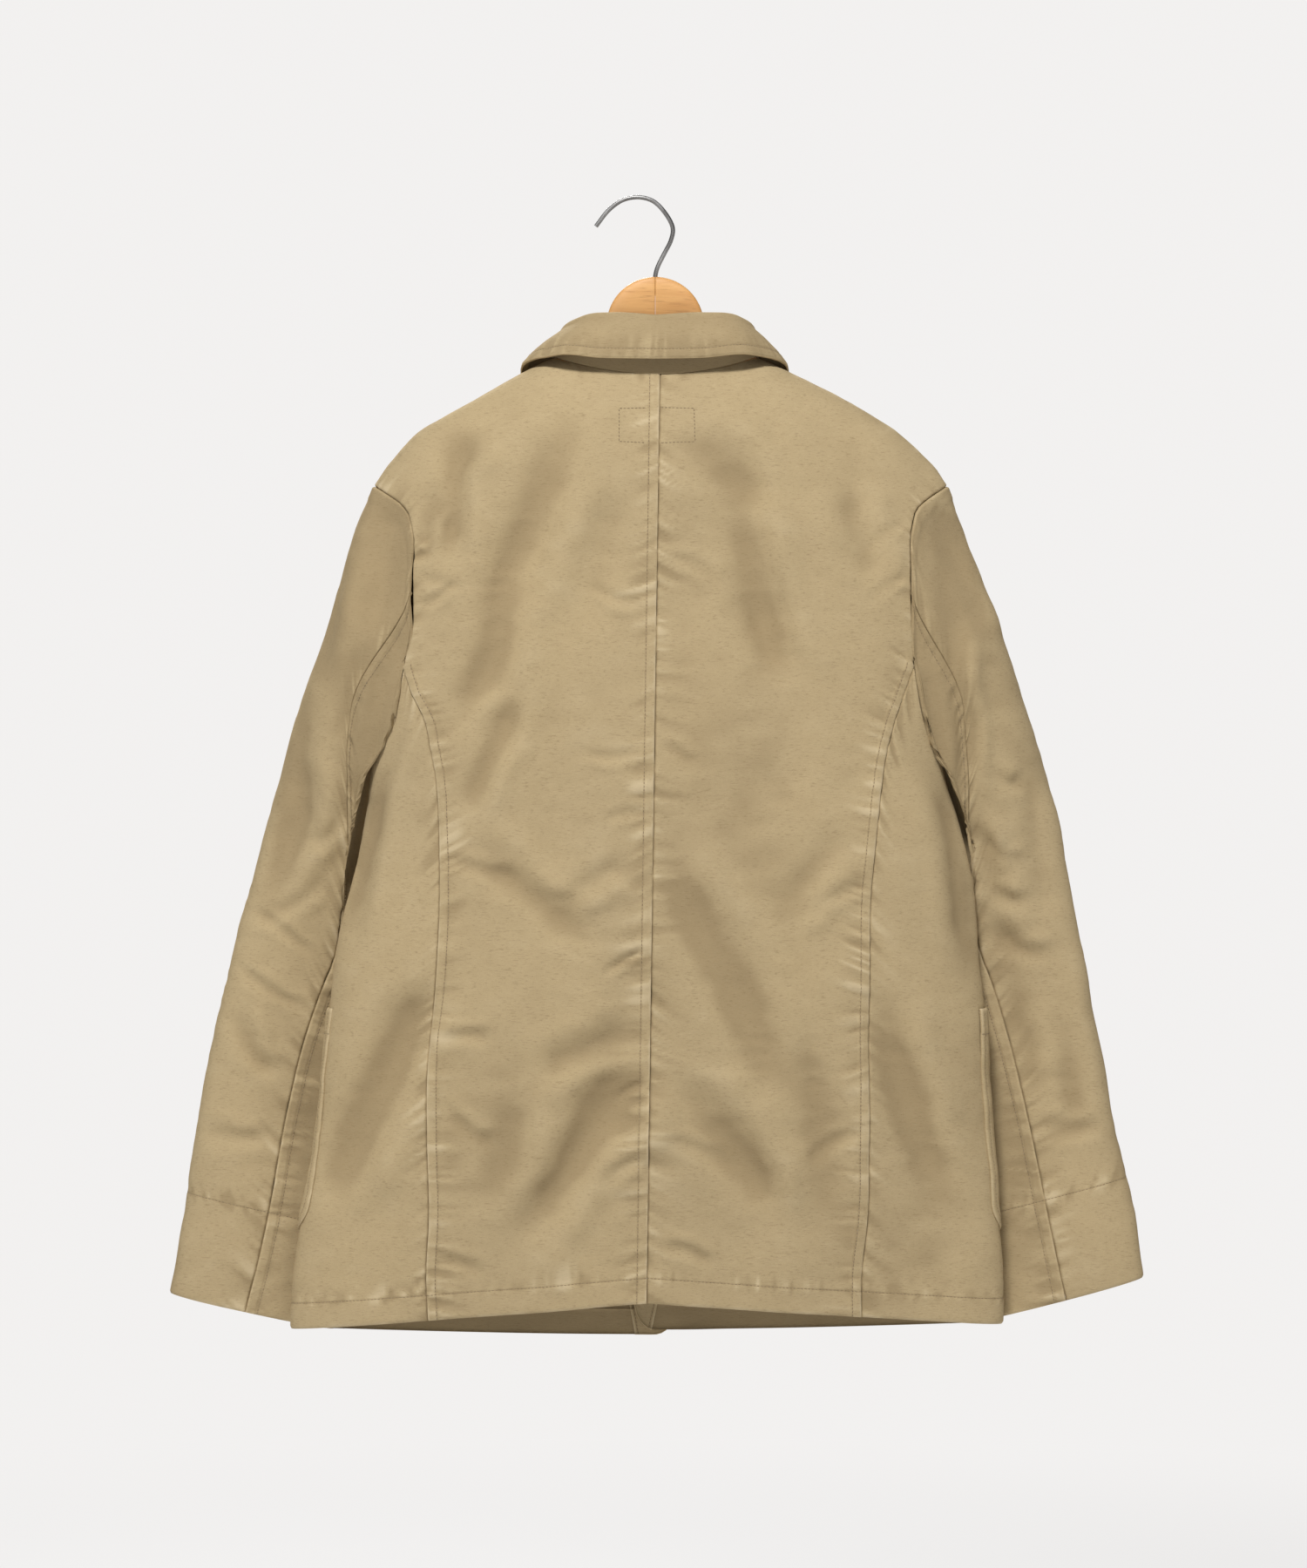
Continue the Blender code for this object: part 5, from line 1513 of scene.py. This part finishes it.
def make_pocket(side, under, front):
    """A patch pocket from the side fold to the front, on the skin's own points."""
    rows = slice(HEM_ROWS * ROW_FINE, (HEM_ROWS + POCKET_ROWS) * ROW_FINE + 1)
    grid = np.concatenate([
        under[rows, POCKET_SIDE_COLUMN * STRING_FINE - POCKET_BACK :],
        front[rows, 1 : POCKET_FRONT_COLUMNS * COLUMN_FINE + 1],
    ], axis=1)
    grid = spread_rows(grid, POCKET_EDGES, HEM)
    reach, height = travelled(grid, 1), travelled(grid, 0)
    width = reach[:, -1]
    up = height[:, height.shape[1] // 2]
    edges = np.array(POCKET_EDGES)
    found, u = [], []
    for line, at, total, v in zip(grid, reach, width, up):
        inset = POCKET_RADIUS - math.sqrt(POCKET_RADIUS**2 - max(POCKET_RADIUS - v, 0) ** 2)
        low, high = inset + edges, total - inset - edges[::-1]
        middle = np.linspace(low[-1], high[0], POCKET_MIDDLE + 1)[1:-1]
        u.append(np.concatenate([low, middle, high]))
        found.append(at_reach(u[-1], at, line))
    u = np.array(u)
    v = np.broadcast_to(up[:, None], u.shape)
    cloth = Cloth(f"pocket_{SIDE_NAMES[side]}", np.array(found), side == LEFT)
    add_relief(cloth, "body")
    inside, below = pocket_edge(u, v, width[:, None]), up[-1] - v
    past = inside - POCKET_SEW
    roll, line = bump(inside, POCKET_ROLL_WIDTH), bump(past, LINE_WIDTH)
    cloth.lift += POCKET_OUT - POCKET_ROLL * roll - LINE_DEPTH * line
    (one, other), (height, share) = POCKET_RIPPLES, POCKET_RIPPLE
    ripple = noise1((u + v) / one, SEEDS["pocket"])
    ripple = ripple + share * noise1((u - v) / other, SEEDS["pocket"] + 1)
    cloth.lift += height * ripple * bump(past, POCKET_RIPPLE_REACH)
    line = bump(below - POCKET_HEM, LINE_WIDTH)
    cloth.lift += HEM_STEP * within(below, POCKET_HEM, POCKET_HEM_END) - LINE_DEPTH * line
    cloth.lift -= POCKET_TOP_ROLL * bump(below, POCKET_ROLL_WIDTH)
    for away in (inside, below):
        cloth.rub += POCKET_WORN * bump(away, POCKET_WORN_WIDTH)
    sewing = Sewing(cloth)
    sewing.sew(pocket_outline(up, reach, grid))
    sewing.sew(cloth.outer()[int(np.argmin(np.abs(up[-1] - up - POCKET_HEM)))])
    return cloth, sewing


def make_sleeve(side, rings):
    """The upper and the under sleeve, sewn down the back of the arm and round the cuff."""
    count = rings.shape[1]
    first, second = (string * STRING_FINE for string in SEAM_STRINGS)
    strings = {
        "upper_sleeve": [i % count for i in range(second - count, first + 1)],
        "under_sleeve": list(range(first, second + 1)),
    }
    made = []
    for piece, columns in strings.items():
        under = piece == "under_sleeve"
        seed = side + 3 * under
        grid = shape(rings[:, columns], SEWN if under else PLAIN, PLAIN, SLEEVE_HEAD, CUFF)
        cloth = Cloth(f"{piece}_{SIDE_NAMES[side]}", grid, side == LEFT)
        add_relief(cloth, "sleeve")
        away, _ = cloth.edge("foot")
        # painted shade on the sleeve near the armhole, fading further down
        cloth.rub -= SLEEVE_SHADE[side] * within(away, *SLEEVE_SHADE_FADE)
        cloth.lift += HEAD_RISE * within(away, *HEAD_END) * ease(away / HEAD_START)
        pucker(cloth, "foot", 0.0, SEEDS["sleeve_head"] + seed, height=0.6, reach=16.0)
        roll_edge(cloth, "foot", depth=0.5, width=0.8, rub=0.7)
        if under:
            # painted shade over the under sleeve, strongest near the armhole
            cloth.rub -= UNDER_SHADE + UNDER_SHADE * within(away, *UNDER_SHADE_FADE)
            felled(cloth, "first", SEEDS["sleeve_felled"] + side)
            roll_edge(cloth, "first", depth=0.6, width=0.7)
        else:
            pucker(cloth, "last", 0.0, SEEDS["sleeve_tucked"] + side, height=0.8, reach=15.0)
            sink_edge(cloth, "last")
        sink_edge(cloth, "last" if under else "first")
        hem_relief(cloth, "head", CUFF_INSET, SEEDS["cuff"] + seed)
        sewing = Sewing(cloth)
        if under:
            sewing.sew(cloth.line("first", SEW_INSET))
        sewing.sew(cloth.line("head", CUFF_INSET))
        made.append((cloth, sewing))
    return made


# ---------------------------------------------------------------- the collar


def neck_line(back, front):
    """Half of the neck seam's points, from the middle of the back to the front's centre."""
    neck, start = NECK_COLUMNS * COLUMN_FINE, SHOULDER_COLUMNS * COLUMN_FINE
    return np.concatenate([back[-1, :neck], front[-1, start : BODY_COLUMNS * COLUMN_FINE + 1]])


def collar_base(side, back, front, normals):
    """Where the collar stands: just past the neck edge, in the middle of its thickness."""
    places = neck_line(back, front)
    base = places - neck_line(*normals) * CLOTH / 2
    base[:, 2] = places[:, 2] + COLLAR_BASE_GAP
    base[-1, 0] += side * COLLAR_END_GAP
    return base


def collar_section(side, base, around):
    """The collar's middle surface at one place: up the stand, over the roll, down the fall."""
    fold, edge = (
        np.array([read(rows, "around", name, around) for name in (SIDE_NAMES[side], "y", "z")])
        * (side, 1, 1) for rows in (COLLAR_FOLD, COLLAR_EDGE)
    )
    out = (edge - fold) * (1, 1, 0)
    out /= np.linalg.norm(out)
    up = np.array([0, 0, 1])
    middle = fold - up * COLLAR_ROLL
    roll = [
        middle + COLLAR_ROLL * (up * math.sin(turn) - out * math.cos(turn))
        for turn in np.linspace(0, math.pi, COLLAR_FINE + 1)
    ]
    stand = [mix(base, roll[0], i / COLLAR_FINE) for i in range(COLLAR_FINE)]
    fall = [
        mix(roll[-1], edge, t) + COLLAR_BULGE * math.sin(math.pi * t) * (out + up) / 2
        for t in np.arange(1, COLLAR_FINE + 1) / COLLAR_FINE
    ]
    return stand + roll + fall


def make_collar(halves):
    """A shirt collar from one front's centre round the neck to the other's."""
    sections = []
    for side, (back, front, normals) in halves.items():
        base = collar_base(side, back, front, normals)
        parts = np.arange(len(base)) / (len(base) - 1)
        base[:, 2] += COLLAR_LIFT * bump(parts - COLLAR_LIFT_AT, COLLAR_LIFT_WIDTH)
        base[:, 2] -= COLLAR_SUNK
        sections.append([collar_section(side, *place) for place in zip(base, parts)])
    left, right = sections
    grid = np.array(left[::-1] + right[1:])
    grid = spread_rows(spread(grid, PLAIN, SEWN, COLLAR_SPACING), SEWN, SEWN, COLLAR_SPACING)
    cloth = Cloth("collar", grid, False)
    cloth.thickness[:] = COLLAR_CLOTH
    cloth.lift += COLLAR_CLOTH / 2
    height, _ = cloth.edge("last")
    top_column = np.argmax(grid[..., 2], axis=1)
    past_top = height - height[np.arange(len(grid)), top_column][:, None]
    fallen = within(past_top, *COLLAR_FALLEN)
    for amount, size, seed in COLLAR_WAVES:
        cloth.lift += fallen * amount * noise3(grid, size, seed)
    # a little patchy, and the whole collar darkened with painted shade
    cloth.rub += COLLAR_PATCHY * noise3(grid, PATCHY_SIZE, PATCHY_SEED) - COLLAR_SHADE
    sink_line(cloth, "last", SEW_INSET)
    pucker(cloth, "last", SEW_INSET, SEEDS["collar"], height=0.4, reach=8.0)
    roll_edge(cloth, "last", depth=1.0, width=1.1)
    cloth.thickness -= COLLAR_THINNED * bump(height, COLLAR_THINNED_WIDTH)
    for edge in ("foot", "head"):
        sink_line(cloth, edge, SEW_INSET, on=fallen)
        roll_edge(cloth, edge, depth=0.8, width=1.0)
    level, varies, size, seed = COLLAR_WORN_PATCHES
    worn_and_shaded = COLLAR_WORN * bump(past_top, COLLAR_WORN_WIDTH)
    cloth.rub += worn_and_shaded * (level + varies * noise3(grid, size, seed))
    sewing = Sewing(cloth)
    row = SEWN.index(SEW_INSET)
    sewing.sew(cloth.line("last", SEW_INSET)[row : -row - 1])
    outer = cloth.outer()
    for end in (row, outer.shape[0] - 1 - row):
        sewing.sew(outer[end, top_column[end] + 1 : outer.shape[1] - row])
    return cloth, sewing


# ---------------------------------------------------------------- hanger, hook and buttons


def hanger_edges(side, x):
    """The wood's top and bottom edge and half thickness at one place."""
    bottom, half = (read(HANGER, "x", name, x) for name in ("bottom", "half"))
    if x <= HANGER["x"][0]:
        centre = DOME_TOP_Z - DOME_RADIUS
        return centre + math.sqrt(DOME_RADIUS**2 - x * x), bottom, half
    top = read(SHOULDER, SIDE_NAMES[side], "z", x) - read(HANGER, "x", "drop", x)
    return top, bottom, half


def add_hanger(side, finish):
    """One wooden half of the hanger, its edges eased and a fine groove at the middle joint."""
    stations = np.concatenate([HANGER_STATIONS, *(np.arange(*run) for run in HANGER_RUNS)])
    points = []
    for x in stations:
        top, bottom, half = hanger_edges(side, x)
        eased = HANGER_JOINT * bump(x, HANGER_JOINT_WIDTH)
        top, half = top - eased, half - eased
        for i in range(HANGER_FINE):
            turn = 2 * math.pi * (i + 0.5) / HANGER_FINE
            y, z = (
                math.copysign(abs(value) ** (2 / WOOD_POWER), value)
                for value in (math.cos(turn), math.sin(turn))
            )
            points.append((side * x, half * y, (top + bottom) / 2 + (top - bottom) / 2 * z))
    index = np.arange(len(points)).reshape(len(stations), HANGER_FINE)
    after = np.roll(index, -1, axis=1)
    faces = np.stack(
        [index[:-1].ravel(), after[:-1].ravel(), after[1:].ravel(), index[1:].ravel()], axis=1
    ).tolist()
    faces += [index[0][::-1].tolist(), index[-1].tolist()]
    if side == LEFT:
        faces = [face[::-1] for face in faces]
    name = f"hanger_{SIDE_NAMES[side]}"
    add_piece(f"wood_{name}", points, faces, finish, [name])


def add_hook(finish):
    data = bpy.data.curves.new("hook_wire", "CURVE")
    data.dimensions = "3D"
    data.bevel_depth = WIRE / 2 * MM
    data.bevel_resolution = HOOK_ROUNDNESS
    data.use_fill_caps = True
    places = smooth_line(np.stack([HOOK["x"], HOOK["z"]], axis=1), HOOK_PLACES)
    spline = data.splines.new("POLY")
    spline.points.add(len(places) - 1)
    for point, (x, z) in zip(spline.points, places):
        point.co = (x * MM, 0, z * MM, 1)
    data.materials.append(finish)
    made = add_object("hook_wire", data)
    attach(made, "root")
    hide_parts("hook")


def add_buttons(front, finish, thread):
    """Turned buttons with four thread holes, on the left front's centre line."""
    turn = 2 * np.pi * np.arange(BUTTON_SIDES) / BUTTON_SIDES
    index = 1 + np.arange((len(BUTTON_RIM) - 2) * BUTTON_SIDES).reshape(-1, BUTTON_SIDES)
    after = np.roll(index, -1, axis=1)
    end = index[-1, -1] + 1
    squares = (index[:-1], index[1:], after[1:], after[:-1])
    faces = [(a, b, 0) for a, b in zip(index[0], after[0])]
    faces += np.stack([corner.ravel() for corner in squares], axis=1).tolist()
    faces += [(a, end, b) for a, b in zip(index[-1], after[-1])]
    for number, z in enumerate(BUTTON_Z):
        spot, normal = (np.array(found) for found in front.look(FRONT, 0, z))
        across = np.cross(normal, (0, 0, 1.0))
        across /= np.linalg.norm(across)
        up = np.cross(across, normal)
        rings = [
            spot + (np.outer(np.cos(turn), across) + np.outer(np.sin(turn), up)) * radius
            + normal * height for radius, height in BUTTON_RIM
        ]
        points = np.concatenate([rings[0][:1], *rings[1:-1], rings[-1][:1]])
        name = f"button_{number + 1}"
        made = add_piece(f"horn_{name}", points, faces, finish, [name], BUTTON_SHARP)
        centre = spot + normal * HOLE_LEVEL
        holes = [centre + (across * a + up * b) * HOLE_OUT for a, b in HOLE_PLACES]
        drill_holes(made, holes, normal)
        middles = np.array([(holes[0] + holes[1]) / 2, (holes[2] + holes[3]) / 2])
        places = np.concatenate([middles + normal * (SHANK_STEP * k) for k in (0, 1)])
        runs, normals = (np.array([axis] * len(places)) for axis in (across, normal))
        shank, shank_faces = stitches(places, runs, normals, SHANK_STITCH)
        add_piece(f"thread_{name}", shank, shank_faces, thread, sharp=0)


def drill_holes(button, holes, normal):
    """Cuts the thread holes through a button."""
    turn = 2 * np.pi * np.arange(HOLE_SIDES) / HOLE_SIDES
    side = np.cross(normal, (1.0, 0, 0))
    side /= np.linalg.norm(side)
    other = np.cross(side, normal)
    points, faces = [], []
    for hole in holes:
        ring = HOLE_RADIUS * (np.outer(np.cos(turn), side) + np.outer(np.sin(turn), other))
        low = np.arange(HOLE_SIDES) + len(points)
        high, after = low + HOLE_SIDES, np.roll(low, -1)
        faces += [low.tolist(), high[::-1].tolist()]
        faces += np.stack([low, high, after + HOLE_SIDES, after], axis=1).tolist()
        points += [*(hole + ring - normal * HOLE_BELOW), *(hole + ring + normal * HOLE_ABOVE)]
    drill = add_object("drill", new_mesh("drill", points, faces))
    cut = button.modifiers.new("holes", "BOOLEAN")
    cut.solver = "EXACT"
    cut.object = drill
    bpy.context.view_layer.update()
    cleared = bpy.data.meshes.new_from_object(
        button.evaluated_get(bpy.context.evaluated_depsgraph_get())
    )
    button.modifiers.clear()
    button.data = cleared
    bpy.data.objects.remove(drill)


def add_buttonholes(front, finish):
    """Worked buttonholes beside the buttons, as close stitches along both sides of a slit."""
    places, runs, normals = [], [], []
    for z in BUTTON_Z:
        for x in np.arange(-BUTTONHOLE, BUTTONHOLE_END, BUTTONHOLE_PITCH):
            for edge in (-1, 1):
                spot, normal = front.look(FRONT, x, z + edge * BUTTONHOLE_HALF)
                places.append(np.array(spot) + np.array(normal) * BUTTONHOLE_SEAT)
                normals.append(np.array(normal))
                runs.append(np.cross(np.cross(normal, (0, 0, 1.0)), normal))
    points, faces = stitches(
        np.array(places), unit(np.array(runs)), np.array(normals), BUTTONHOLE_STITCH)
    add_piece("buttonholes", points, faces, finish, sharp=0)


# ---------------------------------------------------------------- stage


def show_mixed(tree, factor, first, second, output):
    """Shows a mix of two shaders at a tree's output."""
    blend = tree.nodes.new("ShaderNodeMixShader")
    tree.links.new(factor, blend.inputs["Fac"])
    tree.links.new(first, blend.inputs[1])
    tree.links.new(second, blend.inputs[2])
    tree.links.new(blend.outputs["Shader"], tree.nodes[output].inputs["Surface"])


def lit(node, strength):
    """An emission or background node in the studio's colour."""
    node.inputs["Color"].default_value = (*WORLD_COLOUR, 1)
    node.inputs["Strength"].default_value = strength
    return node.outputs[0]


def add_floor():
    """A pale floor well below the jacket that fades into the background."""
    bpy.ops.mesh.primitive_plane_add(size=FLOOR_SIZE, location=(0, 0, FLOOR_Z))
    floor = bpy.context.object
    floor.name = "floor"
    pale = Shader("floor_paint", FLOOR_COLOUR, FLOOR_ROUGHNESS)
    pale.use("Base Color", pale.mix(pale.noise(3.0), FLOOR_COLOUR, FLOOR_SPECK))
    far = pale.nodes.new("ShaderNodeVectorMath")
    far.operation = "LENGTH"
    pale.links.new(pale.place, far.inputs[0])
    show_mixed(
        pale.material.node_tree, pale.between(far.outputs["Value"], *FLOOR_FADE),
        pale.shader.outputs["BSDF"], lit(pale.nodes.new("ShaderNodeEmission"), WORLD_SEEN),
        "Material Output",
    )
    floor.data.materials.append(pale.material)


def add_world():
    """A soft light from all round, behind which a paler background is seen."""
    world = bpy.data.worlds.new("studio")
    bpy.context.scene.world = world
    world.use_nodes = True
    nodes = world.node_tree.nodes
    show_mixed(
        world.node_tree, nodes.new("ShaderNodeLightPath").outputs["Is Camera Ray"],
        lit(nodes["Background"], WORLD_LIGHT),
        lit(nodes.new("ShaderNodeBackground"), WORLD_SEEN), "World Output",
    )


def add_lights():
    for name, place, size, power in LIGHTS:
        data = bpy.data.lights.new(name, "AREA")
        data.shape = "DISK"
        data.size, data.energy = size, power
        lamp = add_object(name, data)
        lamp.location = place
        aim = Vector(LOOK_AT) - Vector(place)
        lamp.rotation_euler = aim.to_track_quat("-Z", "Y").to_euler()


def add_camera():
    """The photo's camera, level and square to the jacket's back."""
    data = bpy.data.cameras.new("camera")
    data.sensor_fit, data.sensor_width = "AUTO", SENSOR_WIDTH
    data.lens = SENSOR_WIDTH * CAMERA_AWAY / (PHOTO_HEIGHT * MM_PER_PIXEL * MM)
    camera = add_object("camera", data)
    x, z = seen(PHOTO_WIDTH / 2, PHOTO_HEIGHT / 2)
    camera.location = ((x + CENTRE_X) * MM, -CAMERA_AWAY, z * MM)
    camera.rotation_euler = (math.pi / 2, 0, 0)
    bpy.context.scene.camera = camera
    bpy.context.scene.view_settings.view_transform = "Standard"


def main():
    cloth_finish, thread = cloth_material(), thread_material()
    made, halves = [], {}
    for side in SIDE_NAMES:
        back, under, front = panel(side, BACK), side_panel(side), panel(side, FRONT)
        rings = sleeve(side, armhole_loop(back, under, front))
        halves[side] = (back, front, [grid_normals(grid, side == LEFT) for grid in (back, front)])
        closing, closing_sewing = make_front(side, front)
        made += [
            make_back(side, back),
            make_side(side, under),
            (closing, closing_sewing),
            make_facing(side, closing),
            make_pocket(side, under, front),
            *make_sleeve(side, rings),
        ]
        if side == LEFT:
            add_buttons(closing_sewing, horn_material(), thread)
            add_buttonholes(closing_sewing, thread)
    made.append(make_collar(halves))
    for cloth, sewing in made:
        kind, _, side_name = cloth.name.rpartition("_")
        nodes = [f"{node}_{side_name}" for node in NODES.get(kind, ())] or [cloth.name]
        add_cloth(cloth, nodes, cloth_finish)
        sewing.finish(thread)
    wood = wood_material()
    for side in SIDE_NAMES:
        add_hanger(side, wood)
    add_hook(steel_material())
    add_floor()
    add_world()
    add_lights()
    add_camera()


main()
